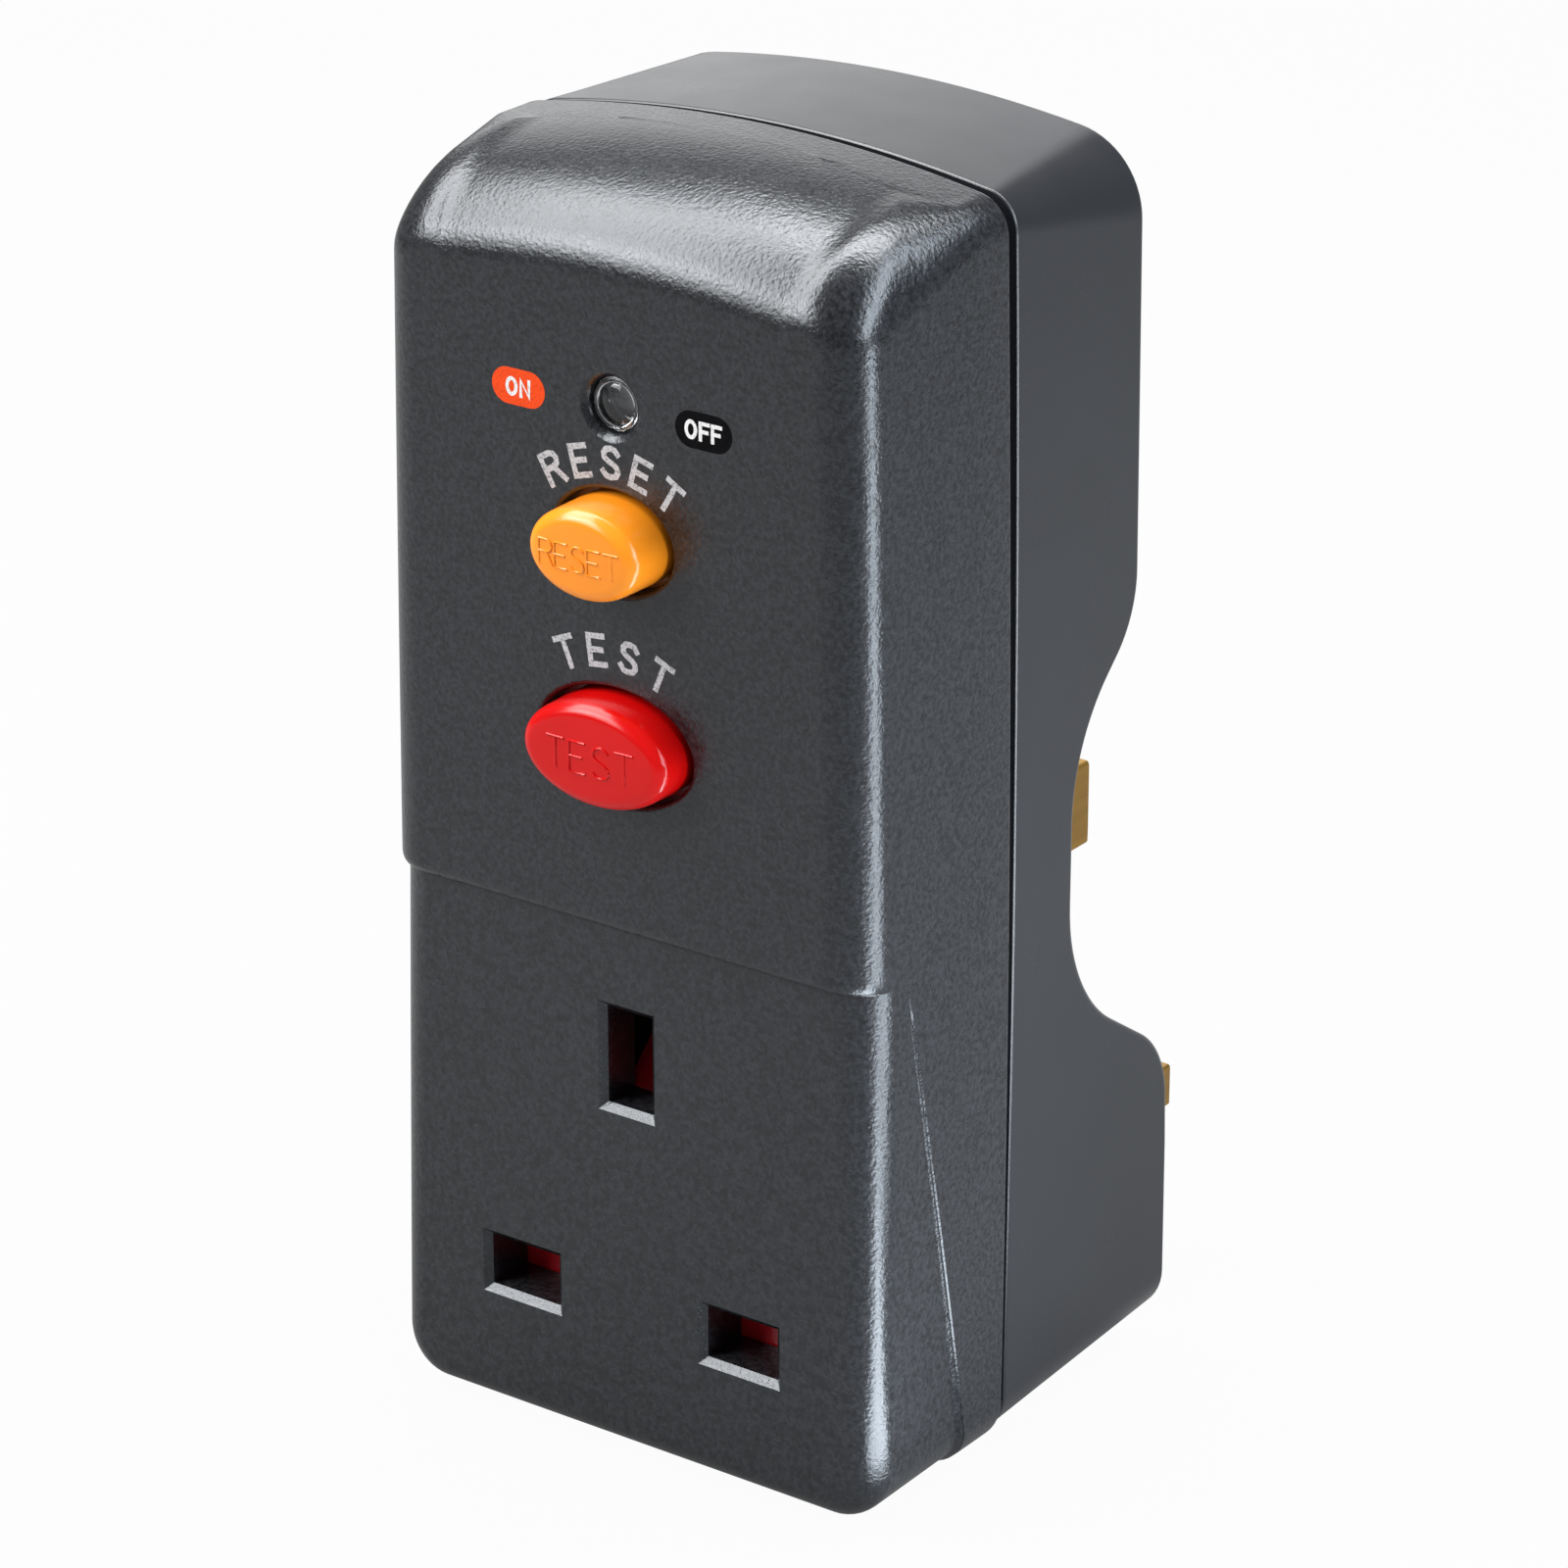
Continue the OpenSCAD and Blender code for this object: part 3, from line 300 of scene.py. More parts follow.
class Nodes:
    """Material with a principled shader, and short calls for the nodes that feed it."""

    def __init__(self, name):
        self.mat = bpy.data.materials.new(name)
        self.mat.use_nodes = True
        self.t = self.mat.node_tree
        self.t.nodes.clear()
        self.out = self.t.nodes.new("ShaderNodeOutputMaterial")
        self.p = self.t.nodes.new("ShaderNodeBsdfPrincipled")
        self.t.links.new(self.p.outputs[0], self.out.inputs[0])
        self.coord = self.t.nodes.new("ShaderNodeTexCoord").outputs["Object"]

    def link(self, a, b):
        self.t.links.new(a, b)

    def texture(self, kind, size_mm, stretch=(1, 1, 1)):
        """Texture node whose features are size_mm large, on the object's own coordinates."""
        m = self.t.nodes.new("ShaderNodeMapping")
        m.inputs["Scale"].default_value = [s / (size_mm * MM) for s in stretch]
        self.link(self.coord, m.inputs["Vector"])
        n = self.t.nodes.new(kind)
        n.inputs["Scale"].default_value = 1.0
        self.link(m.outputs[0], n.inputs["Vector"])
        return n

    def noise(self, size_mm, detail=2.0, rough=0.5, stretch=(1, 1, 1)):
        n = self.texture("ShaderNodeTexNoise", size_mm, stretch)
        n.inputs["Detail"].default_value = detail
        n.inputs["Roughness"].default_value = rough
        return n.outputs["Fac"]

    def cells(self, size_mm):
        n = self.texture("ShaderNodeTexVoronoi", size_mm)
        n.feature = "SMOOTH_F1"
        return n.outputs["Distance"]

    def math(self, op, a, b):
        m = self.t.nodes.new("ShaderNodeMath")
        m.operation = op
        for i, v in enumerate((a, b)):
            if isinstance(v, (int, float)):
                m.inputs[i].default_value = v
            else:
                self.link(v, m.inputs[i])
        return m.outputs[0]

    def set(self, **values):
        for k, v in values.items():
            self.p.inputs[k.replace("_", " ")].default_value = v

    def colour(self, fac, a, b, lo=0.35, hi=0.65):
        """Colour that goes from a to b while fac goes from lo to hi."""
        r = self.t.nodes.new("ShaderNodeValToRGB")
        for e, pos, col in zip(r.color_ramp.elements, (lo, hi), (a, b)):
            e.position = pos
            e.color = (*col, 1)
        self.link(fac, r.inputs[0])
        self.link(r.outputs[0], self.p.inputs["Base Color"])

    def rough(self, fac, lo, hi):
        m = self.t.nodes.new("ShaderNodeMapRange")
        limits = {"From Min": 0.3, "From Max": 0.7, "To Min": lo, "To Max": hi}
        for socket, value in limits.items():
            m.inputs[socket].default_value = value
        self.link(fac, m.inputs["Value"])
        self.link(m.outputs[0], self.p.inputs["Roughness"])

    def bump(self, height, depth_mm):
        b = self.t.nodes.new("ShaderNodeBump")
        b.inputs["Strength"].default_value = 1.0
        b.inputs["Distance"].default_value = depth_mm * MM
        self.link(height, b.inputs["Height"])
        self.link(b.outputs[0], self.p.inputs["Normal"])


def scaled(c, k):
    return tuple(min(1.0, v * k) for v in c)


def plastic(name, col, rough, grain_mm, grain_depth, vary=0.08, spec=0.5):
    m = Nodes(name)
    m.colour(m.noise(14, 3), scaled(col, 1 - vary), scaled(col, 1 + vary))
    m.rough(m.noise(5, 3), rough - 0.02, rough + 0.02)
    m.set(Specular_IOR_Level=spec, IOR=1.5)
    m.bump(m.noise(grain_mm, 2, 0.55), grain_depth)
    return m.mat


def pebbled(name, col, rough, cell_mm, depth, vary, spec):
    m = Nodes(name)
    m.colour(m.noise(cell_mm * 1.2, 2, 0.7), scaled(col, 1 - vary), scaled(col, 1 + vary))
    m.rough(m.noise(4, 3), rough - 0.02, rough + 0.02)
    m.set(Specular_IOR_Level=spec, IOR=1.5, Specular_Tint=(0.92, 0.96, 1.0, 1))
    m.bump(m.math("ADD", m.cells(cell_mm), m.noise(cell_mm * 0.55, 2, 0.6)), depth)
    return m.mat


def metal(name, col, rough, streak=(1, 1, 1), size=1.5, depth=0.004, vary=0.1):
    m = Nodes(name)
    n = m.noise(size, 4, 0.6, streak)
    m.colour(n, scaled(col, 1 - vary), scaled(col, 1 + vary))
    m.rough(n, rough - 0.06, rough + 0.1)
    m.set(Metallic=1.0)
    m.bump(n, depth)
    return m.mat


def winding():
    m = Nodes("enamelled_wire")
    w = m.t.nodes.new("ShaderNodeTexWave")
    w.wave_type = "BANDS"
    w.bands_direction = "DIAGONAL"
    w.inputs["Scale"].default_value = 1200
    w.inputs["Distortion"].default_value = 0.4
    m.link(m.coord, w.inputs["Vector"])
    m.colour(w.outputs["Fac"], (0.3, 0.1, 0.03), (0.62, 0.26, 0.09), 0.1, 0.9)
    m.rough(w.outputs["Fac"], 0.25, 0.4)
    m.set(Metallic=0.85)
    m.bump(w.outputs["Fac"], 0.06)
    return m.mat


def board():
    m = Nodes("board_lacquer")
    m.colour(m.noise(3, 3), (0.02, 0.12, 0.05), (0.04, 0.2, 0.08))
    m.rough(m.noise(1.2, 2), 0.25, 0.4)
    m.bump(m.noise(0.5, 1), 0.01)
    return m.mat


def clear():
    m = Nodes("clear_lens")
    m.set(Transmission_Weight=1.0, IOR=1.49)
    m.colour(m.noise(2, 2), (0.9, 0.92, 0.95), (0.97, 0.98, 1.0))
    m.rough(m.noise(1.5, 2), 0.02, 0.06)
    m.bump(m.noise(1.2, 1), 0.002)
    return m.mat


def ink(name, col, spec=0.4, pinhole=0.32):
    """Printed ink with fine pinholes that show the case under it."""
    m = Nodes(name)
    n = m.noise(0.16, 2, 0.6)
    m.colour(n, scaled(col, pinhole), col, 0.36, 0.48)
    m.rough(m.noise(0.5, 2), 0.45, 0.6)
    m.set(Specular_IOR_Level=spec)
    m.bump(n, 0.01)
    return m.mat


FRONT = pebbled("front_pebbled_plastic", (0.013, 0.0137, 0.0158), 0.23, 0.36, 0.028, 0.65, 0.64)
REAR = plastic("rear_satin_plastic", (0.0128, 0.014, 0.0172), 0.29, 0.26, 0.008, 0.06, 0.66)
ORANGE = plastic("orange_gloss", (0.97, 0.29, 0.013), 0.2, 1.2, 0.004, 0.04, 0.5)
RED = plastic("red_gloss", (0.58, 0.003, 0.003), 0.16, 1.2, 0.004, 0.05, 0.32)
SHUTTER = plastic("shutter_red", (0.45, 0.01, 0.018), 0.16, 0.9, 0.004, 0.08)
CREAM = plastic("cream_moulding", (0.72, 0.67, 0.55), 0.45, 0.3, 0.006)
DARK = plastic("dark_moulding", (0.02, 0.02, 0.023), 0.42, 0.3, 0.006)
SLEEVE = plastic("sleeve_plastic", (0.014, 0.014, 0.016), 0.4, 0.25, 0.005)
BLACK_FLAG = plastic("flag_black", (0.012, 0.012, 0.014), 0.35, 0.3, 0.003)
ORANGE_FLAG = plastic("flag_orange", (0.9, 0.3, 0.015), 0.4, 0.3, 0.003)
BROWN = plastic("brown_insulation", (0.12, 0.05, 0.02), 0.4, 0.4, 0.004)
BLUE = plastic("blue_insulation", (0.03, 0.07, 0.32), 0.4, 0.4, 0.004)
VARISTOR = plastic("varistor_coat", (0.04, 0.12, 0.42), 0.35, 0.5, 0.01)
RESISTOR = plastic("resistor_lacquer", (0.55, 0.4, 0.22), 0.3, 0.4, 0.006)
CAN = plastic("capacitor_sleeve", (0.03, 0.05, 0.2), 0.25, 0.6, 0.003)
BRASS = metal("brass_pin", (0.42, 0.24, 0.055), 0.34, (1, 0.12, 1), 0.8)
STRIP = metal("brass_strip", (0.78, 0.55, 0.22), 0.32, (1, 0.2, 1), 1.0)
STEEL = metal("plated_steel", (0.62, 0.62, 0.64), 0.28, (1, 1, 1), 0.8)
SILVER = metal("contact_silver", (0.86, 0.86, 0.87), 0.25, (1, 1, 1), 0.5)
CORE = metal("core_strip", (0.25, 0.25, 0.27), 0.4, (1, 1, 6), 1.0)
WIRE, BOARD, LENS = winding(), board(), clear()
INK_GREY = ink("ink_light_grey", (0.5, 0.51, 0.53))
INK_WHITE = ink("ink_white", (0.8, 0.8, 0.8), 0.4, 0.7)
INK_ON = ink("ink_orange_red", (0.84, 0.07, 0.01), 0.15, 0.8)
INK_OFF = ink("ink_black", (0.004, 0.004, 0.005), 0.04)

# The solids' materials. Those that show are replaced by finished pieces further down
LOOK = {
    STEEL: "case_screws reset_spring blade_rivet shutter_spring retainer_screw frame_screws guide_pins "
           "carriage_springs latch_plate solenoid_yoke trip_plunger flag_pivot",
    STRIP: "test_blade test_contact line_strip neutral_strip earth_contact line_feed_contact "
           "neutral_feed_contact contact_bridges",
    CREAM: "contact_carrier pin_retainer mechanism_frame solenoid_bobbin",
    DARK: "contact_carriage amplifier_chip thyristor",
    BRASS: "earth_pin line_pin neutral_pin",
    SILVER: "fixed_contact_tips moving_contact_tips",
    WIRE: "solenoid_coil toroid_winding",
    CORE: "toroid_core", BROWN: "line_lead", BLUE: "neutral_lead", BOARD: "circuit_board",
    CAN: "reservoir_capacitor", VARISTOR: "surge_varistor", RESISTOR: "board_resistors",
    BLACK_FLAG: "indicator_flag", ORANGE_FLAG: "flag_band", SLEEVE: "pin_sleeves", SHUTTER: "shutter",
    FRONT: "front_cover", REAR: "rear_cover", ORANGE: "reset_button", RED: "test_button",
    LENS: "indicator_lens",
}
for look, names in LOOK.items():
    for name in names.split():
        nodes[name].data.materials.clear()
        nodes[name].data.materials.append(look)


def dress(ob, look, body, slot, *stands_for):
    """Gives a piece its material and the body it rides on, and hides the nodes that it replaces. Its slot is
    not used.
    """
    ob.data.materials.clear()
    ob.data.materials.append(look)
    if body:
        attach(ob, body)
    if stands_for:
        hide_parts(*stands_for)
    return ob


# ---- front cover ----

STEP_LEVELS = [Z_STEP - 0.4 + 1.5 * (i / 12) ** 1.5 for i in range(13)]
FRONT_LEVELS = sorted([*np.linspace(Z_BOT + 7, Z_STEP - 2, 18), *STEP_LEVELS,
                       *np.linspace(Z_STEP + 3, Z_TOP - 13, 20)])
CORNER_POINTS = 13  # of an outline, below its levels

# The ledge: a fine groove, then a bevel that widens towards the bottom. Each step has the run forward and
# the depth in mm of the groove, then the run and depth of the bevel as shares of the ledge's depth
LEDGE = ((0, 0, 0, 0), (0.1, 0.12, 0, 0), (0.2, 0.12, 0, 0), (0.3, 0, 0, 0), (0.32, 0, 0.12, 0.03),
         (0.34, 0, 0.37, 0.2), (0.36, 0, 0.82, 0.52), (0.38, 0, 1.27, 0.84), (0.4, 0, 1.52, 0.97),
         (0.42, 0, 1.75, 1.0))


def front_round(p):
    """Radius of the front edge: larger at the top, smaller at the bottom."""
    side = lookup(p[1], [(Z_BOT, 2.4), (Z_STEP, 4)])
    s = math.sin(p[2])
    return mix(side, 6.4, s * s) if s > 0 else mix(side, 2, s * s)


def front_y(z):
    """Depth of the front: the socket face, a rounded step and the panel."""
    f = (z - Z_STEP + 0.3) / 1.3
    if f <= 0:
        return Y_FACE
    if f >= 1:
        return Y_PANEL
    return Y_FACE + (Y_PANEL - Y_FACE) * math.sqrt(1 - (1 - f) ** 2)


def ledge_y(z):
    return Y_FACE + 4.9 + ((Z_STEP - z) * 0.185 if z < Z_STEP else (z - Z_STEP) * 0.05)


def ledge_depth(z):
    return 0.35 * (Z_STEP - z) / (Z_STEP - Z_BOT) if z < Z_STEP else 0.0


def joint_gap(z):
    return lookup(z, [(Z_BOT, 0.42), (30, 0.75), (75, 1.15)])


def front_rounding(p, q):
    """Inset and depth radius of the front edge at a point of the outline: round at the sides, long and flat
    at the top, where it reaches back to the straight rim. Also the inset of the wall where the rounding
    starts, and the whole inset from the rim's point p to the face's point q."""
    d = (p[0] - q[0]) * math.cos(q[2]) + (p[1] - q[1]) * math.sin(q[2])
    r, top = front_round(q), max(0.0, math.sin(q[2])) ** 2
    return d + r - d * (1 - top), mix(r, Y_RIM - Y_PANEL, top), d * (1 - top), d


def front_point(p, q, a):
    r_in, r_y, start, d = front_rounding(p, q)
    x, z = inset(q, start - d + r_in * (1 - math.cos(a)))
    return x, front_y(z) + r_y * (1 - math.sin(a)), z


def wall_lean(p, q):
    """Angle at which the rounding starts, so that it goes on smoothly from the wall."""
    r_in, r_y, start, _ = front_rounding(p, q)
    a = 0.0
    for _ in range(6):
        run = Y_RIM - front_y(q[1]) - r_y * (1 - math.sin(a))
        if run < 0.05:
            return 0.0
        a = math.atan((start + r_in * (1 - math.cos(a))) / run * r_y / r_in)
    return a


def ledge_point(p, q, a, step):
    """Point of the side wall between the rim's point p and the start of the rounding."""
    run, groove, share, depth = step
    x, y, z = front_point(p, q, a)
    at = max(ledge_y(p[1]) - run - share * ledge_depth(p[1]), y + 0.02 * (1 - run))
    f = min(1.0, (Y_RIM - at) / max(0.05, Y_RIM - y))
    wall = (mix(p[0], x, f), mix(p[1], z, f), p[2])
    ledge = ledge_depth(wall[1])
    x, z = inset(wall, ledge * depth + groove * min(1.0, ledge / 0.02))
    return x, at, z


def front_shell():
    rim, face = at_joint(0, FRONT_LEVELS), at_front(0, FRONT_LEVELS)
    lean = [wall_lean(p, q) for p, q in zip(rim, face)]
    rings = []
    for t in np.linspace(0, QUARTER, 7):
        back = Y_JOINT - RIM_ROUND * (1 - math.cos(t))
        rings.append(ring(rim, RIM_ROUND * (1 - math.sin(t)), lambda z: back - joint_gap(z) / 2))
    rings.append(ring(rim, 0, Y_RIM))
    for step in LEDGE:
        rings.append([ledge_point(p, q, a, step) for p, q, a in zip(rim, face, lean)])
    for f in np.linspace(0, 1, 21):
        rings.append([front_point(p, q, mix(a, QUARTER, f)) for p, q, a in zip(rim, face, lean)])
    step_ends = [CORNER_POINTS + FRONT_LEVELS.index(z) for z in (STEP_LEVELS[0], STEP_LEVELS[-1])]
    return put("front_shell", loft(rings, step_ends))


def cavity_y(z):
    """Depth of the cavity: behind the socket face, and behind the panel up to the rounded top."""
    if z < Z_STEP + 1:
        return Y_IN
    return Y_PANEL_IN + max(0.0, z - (Z_TOP - TOP_STEP - WALL - 2.8))


def slot_cutter(x, z, w, h):
    """Slot of the socket, with a bevelled edge."""
    bevel = 0.6
    rings = []
    for y, g in ((Y_WING + 0.5, 0), (Y_FACE + bevel, 0), (Y_FACE - 0.2, bevel + 0.2)):
        a, b, c, d = rectangle(x, z, w + 2 * g, h + 2 * g)
        rings.append([(px, y, pz) for px, pz in (a, b, c, (x, c[1]), d)])
    return loft(rings)


def hole_cutter(w, h, z):
    """Oval hole for a button, with a rounded edge."""
    gap, r = 0.05, 0.5
    profile = [(Y_PANEL_IN + 1, -gap), (Y_PANEL + r, -gap)]
    profile += [(Y_PANEL + r * (1 - math.sin(a)), -gap - r * (1 - math.cos(a)))
                for a in np.linspace(0.2, QUARTER, 7)]
    return loft(oval_rings(w, h, z, profile + [(Y_PANEL - 0.6, -gap - r)]))


def window_cutter():
    """Round window with a wide rounded edge, as (radius, distance behind the panel)."""
    edge = ((2.3, 0.6), (2.42, 0.36), (2.68, 0.12), (2.9, 0.02), (3.0, -0.02), (3.1, -0.6))
    profile = [(2.3, Y_PANEL_IN + 1)] + [(r, Y_PANEL + y) for r, y in edge]
    return lathe_y(0, Z_WINDOW, profile, 64)


def front_cover():
    ob = front_shell()
    hollow = at_front(WALL, [Z_BOT + 9, Z_STEP + 0.9, Z_STEP + 1.1, Z_TOP - 15])
    combine(ob, loft([ring(hollow, 0, Y_JOINT + 1), ring(hollow, 0, cavity_y)]))
    for x, z, (w, h), shutter in ((-PITCH / 2, Z_LN, LN_SLOT, Y_WING), (PITCH / 2, Z_LN, LN_SLOT, Y_WING),
                                  (0, Z_ES, EARTH_SLOT, Y_RAMP)):
        collar = rectangle(x, z, w + 2.2, h + 2.2)
        combine(ob, prism(collar, Y_IN - 0.8, shutter - 0.2), "UNION")
        combine(ob, slot_cutter(x, z, w, h))
    combine(ob, hole_cutter(TEST_W, TEST_H, Z_TEST))
    combine(ob, hole_cutter(RESET_W, RESET_H, Z_RESET))
    combine(ob, window_cutter())
    shade(ob)
    dress(ob, FRONT, "housing", "front_plastic", "front_cover")


# ---- rear cover ----

# Side view of the back: plug base, finger scallop and upper housing, as (y, z)
SCALLOP = ([np.array([0, Z_BOT - 1])]
           + bend((0, Z_BOT), (0, Z_SHOULDER), (Y_NECK, Z_LOW), 7.8, 16)
           + bend((0, Z_SHOULDER), (Y_NECK, Z_LOW), (Y_NECK, Z_HIGH), 15.4, 18)
           + bend((Y_NECK, Z_LOW), (Y_NECK, Z_HIGH), (Y_HOUSE, Z_CHIN), 16, 16)
           + bend((Y_NECK, Z_HIGH), (Y_HOUSE, Z_CHIN), (Y_HOUSE, Z_TOP), 9, 12)
           + [np.array([Y_HOUSE, Z_TOP + 1])])
BACK_Y = [(p[1], p[0]) for p in SCALLOP]


def rear_levels():
    """Heights of the points along the sides, with those of the scallop."""
    z = sorted([p[1] for p in SCALLOP[1:-1]] + [*np.linspace(Z_BOT + 8, Z_PIN + 4, 6)]
               + [*np.linspace(Z_CHIN + 5, Z_TOP - 11, 12)])
    return [b for a, b in zip([-math.inf] + z, z) if b - a > 0.05]


def back_round(z):
    """Radius of the back edge at a height."""
    return lookup(z, [(Z_BOT, 0.5), (Z_PIN + 5, 0.6), (Z_PIN + 13, 1.0), (Z_PIN + 28, 1.0),
                      (Z_PIN + 38, 0.8)])


def back_point(p, a):
    """Point of the rounded back edge at angle a."""
    r = back_round(p[1])
    x, z = inset(p, r * (1 - math.cos(a)))
    return x, lookup(z, BACK_Y) - r * (1 - math.sin(a)), z


def rear_shell(levels):
    rim, back = at_joint(0.25, levels), at_back(0, levels)
    rings = [[back_point(p, math.radians(90 - 9 * i)) for p in back] for i in range(11)]
    edge = rings[-1]
    for f in (0.25, 0.5, 0.75):
        rings.append([(mix(a[0], b[0], f), mix(c[1], Y_JOINT, f), mix(a[1], b[1], f))
                      for a, b, c in zip(back, rim, edge)])
    for d, dy in ((0.0, 0.25), (0.03, 0.12), (0.14, 0.0)):
        rings.append(ring(rim, d, lambda z: Y_JOINT + joint_gap(z) / 2 + dy))
    # A lip at the bottom of the joint, up to the front cover's rim
    for side in (0.5, -0.5):
        rings.append(ring(rim, 1.0, lambda z: Y_JOINT + joint_gap(z) * side))
    return put("rear_shell", loft(rings))


def tower_outline(d):
    """Outline of the block round the earth pin, moved in by d."""
    w, t, r = 10.5 - d, Z_EARTH + 3.96 + 6.5 - d, 7 - d
    return mirrored([(w, Z_PIN, 0.0)] + arc(w - r, t - r, r, 0, 90, 14) + [(0.0, t, QUARTER)])


def tower():
    """The block, with a rounded edge."""
    o = tower_outline(0)
    rings = [ring(o, 0, Y_NECK - 1.2), ring(o, 0, -FILLET)]
    for a in (math.radians(18 * i) for i in range(1, 6)):
        rings.append(ring(o, FILLET * (1 - math.cos(a)), -FILLET * (1 - math.sin(a))))
    return loft(rings)


def inner_back():
    """The back's side view moved in by the wall, as (z, y)."""
    out = []
    for i, p in enumerate(SCALLOP):
        t = SCALLOP[min(i + 1, len(SCALLOP) - 1)] - SCALLOP[max(i - 1, 0)]
        t = t / np.linalg.norm(t)
        y, z = p - WALL * np.array([t[1], -t[0]])
        out.append((z, y))
    return sorted(out)


def screw_hole(x, z, seat, depth):
    """Round hole with a rounded edge, from a seat on the back."""
    edge = ((2.9, -0.4), (3.02, -0.12), (3.3, 0.02), (3.5, 1))
    return lathe_y(x, z, [(2.9, seat - depth)] + [(r, seat + y) for r, y in edge], 48)


def pin_hole(x, z, w, h):
    return prism(rectangle(x, z, w, h), -WALL - 1, 1)


def rear_cover():
    levels = rear_levels()
    ob = rear_shell(levels)
    combine(ob, tower(), "UNION")
    hollow, inner = at_back(WALL + 0.2, [z for z in levels if Z_BOT + 9 < z < Z_TOP - 13]), inner_back()
    combine(ob, loft([ring(hollow, 0, Y_JOINT - 1), ring(hollow, 0, lambda z: lookup(z, inner))]))
    hollow = tower_outline(3.2)
    combine(ob, loft([ring(hollow, 0, Y_NECK - 4), ring(hollow, 0, -WALL)]))
    for side in (-1, 1):
        combine(ob, screw_hole(side * (HW - 7.6), Z_TOP - 10.5, Y_HOUSE, 4.2))
        combine(ob, screw_hole(side * (HW - 6.2), Z_BOT + 7.1, 0.0, 5.2))
        combine(ob, pin_hole(side * PITCH / 2, Z_PIN, 6.55, 4.15))
    combine(ob, pin_hole(0, Z_EARTH, 4.15, 8.1))
    shade(ob)
    dress(ob, REAR, "housing", "rear_plastic", "rear_cover")


front_cover()
rear_cover()


# ---- buttons and lens ----

def face_half(w, h, edge):
    """Half width and height of a button's face, inside its rounded edge."""
    return w / 2 - CAP_FACE - edge, h / 2 - CAP_FACE - edge


def cap_mesh(w, h, out, z, edge):
    """Cap with tapered sides, a rounded edge that runs into the face, and a slightly domed face."""
    y_front = Y_PANEL - out
    profile = [(Y_PANEL_IN + 0.3, CAP_BASE), (Y_PANEL + 0.4, CAP_BASE),
               (Y_PANEL - out / 2, mix(CAP_BASE, CAP_FACE, 0.4))]
    profile += [(y_front + CAP_DOME + edge * (1 - math.sin(a)), CAP_FACE + edge * (1 - math.cos(a)))
                for a in np.linspace(0, QUARTER - 0.05, 11)]
    rings = oval_rings(w, h, z, profile, 97)
    a, b = face_half(w, h, edge)
    for k in (0.9, 0.75, 0.55, 0.3, 0.1):
        rings += oval_rings(2 * a * k, 2 * b * k, z, [(y_front + CAP_DOME * k * k, 0)], 97)
    return loft(rings)


def button(name, w, h, out, z, edge, stem):
    """A cap, the flange behind the panel that holds it, and a stem."""
    flange = oval_rings(w + 1.6, h + 1.2, z, [(Y_PANEL_IN + 0.2, 0), (Y_PANEL_IN + 1.2, 0)], 65)
    r, end = stem[0] / 2, stem[1]
    rod = lathe_y(0, z, [(r, Y_PANEL_IN + 1), (r, end - 0.3), (r - 0.3, end)], 32)
    ob = put(name, cap_mesh(w, h, out, z, edge))
    with editing(ob.data) as bm:
        bm.from_mesh(loft(flange))
        bm.from_mesh(rod)
    shade(ob)
    return ob


def window_lens():
    """Lens with a flange behind the panel, a raised rim and a domed middle."""
    profile = [(2.98, Y_PANEL_IN + 0.5), (3.0, Y_PANEL_IN), (2.2, Y_PANEL_IN - 0.02), (2.2, Y_PANEL + 0.95)]
    profile += [(2.0 + 0.2 * math.cos(a), Y_PANEL + 0.95 - 0.28 * math.sin(a))
                for a in np.linspace(0.3, math.pi - 0.3, 7)]
    profile += [(1.78 * math.cos(a), Y_PANEL + 1.05 - 0.5 * math.sin(a)) for a in np.linspace(0.05, 1.5, 9)]
    ob = put("window_lens", lathe_y(0, Z_WINDOW, profile, 64))
    shade(ob, 35)
    return ob


reset_cap = button("reset_cap", RESET_W, RESET_H, RESET_OUT, Z_RESET, RESET_EDGE, RESET_STEM)
dress(reset_cap, ORANGE, "reset_push", "orange_plastic", "reset_button")
test_cap = button("test_cap", TEST_W, TEST_H, TEST_OUT, Z_TEST, TEST_EDGE, TEST_STEM)
dress(test_cap, RED, "test_push", "red_plastic", "test_button")
dress(window_lens(), LENS, "housing", "lens", "indicator_lens")


# ---- rounded edges on the solids that show ----

def rounded(node, body, slot, width, look):
    me = nodes[node].data.copy()
    with editing(me) as bm:
        bmesh.ops.remove_doubles(bm, verts=bm.verts, dist=1e-7)
        bmesh.ops.dissolve_limit(bm, angle_limit=math.radians(2), verts=bm.verts, edges=bm.edges)
    ob = put(node + "_finished", me)
    mod = ob.modifiers.new("edge", "BEVEL")
    mod.width = width * MM
    mod.segments = 3
    mod.limit_method = "ANGLE"
    mod.angle_limit = math.radians(40)
    apply_modifiers(ob)
    shade(ob, 35)
    dress(ob, look, body, slot, node)


for pin in ("earth_pin", "line_pin", "neutral_pin"):
    rounded(pin, "housing", "pin_brass", 0.3, BRASS)
rounded("pin_sleeves", "housing", "sleeve_plastic", 0.2, SLEEVE)
rounded("shutter", "shutter_slider", "shutter_plastic", 0.15, SHUTTER)
rounded("case_screws", "housing", "steel", 0.12, STEEL)


# ---- springs, as copies of their solids ----

def spring_copy(node, look, body, slot, cuts=()):
    """Copy of a spring's solid, cut across at each x in cuts."""
    me = nodes[node].data.copy()
    with editing(me) as bm:
        for x in cuts:
            whole = bm.verts[:] + bm.edges[:] + bm.faces[:]
            bmesh.ops.bisect_plane(bm, geom=whole, plane_co=(x * MM, 0, 0), plane_no=(1, 0, 0))
    ob = put(node + "_flexing", me)
    shade(ob, 35, False)
    return dress(ob, look, body, slot, node)


def coil(node):
    """Coil spring: a copy of its solid with a mesh of its own, on the housing."""
    ob = spring_copy(node, STEEL, "housing", "steel")
    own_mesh(ob)


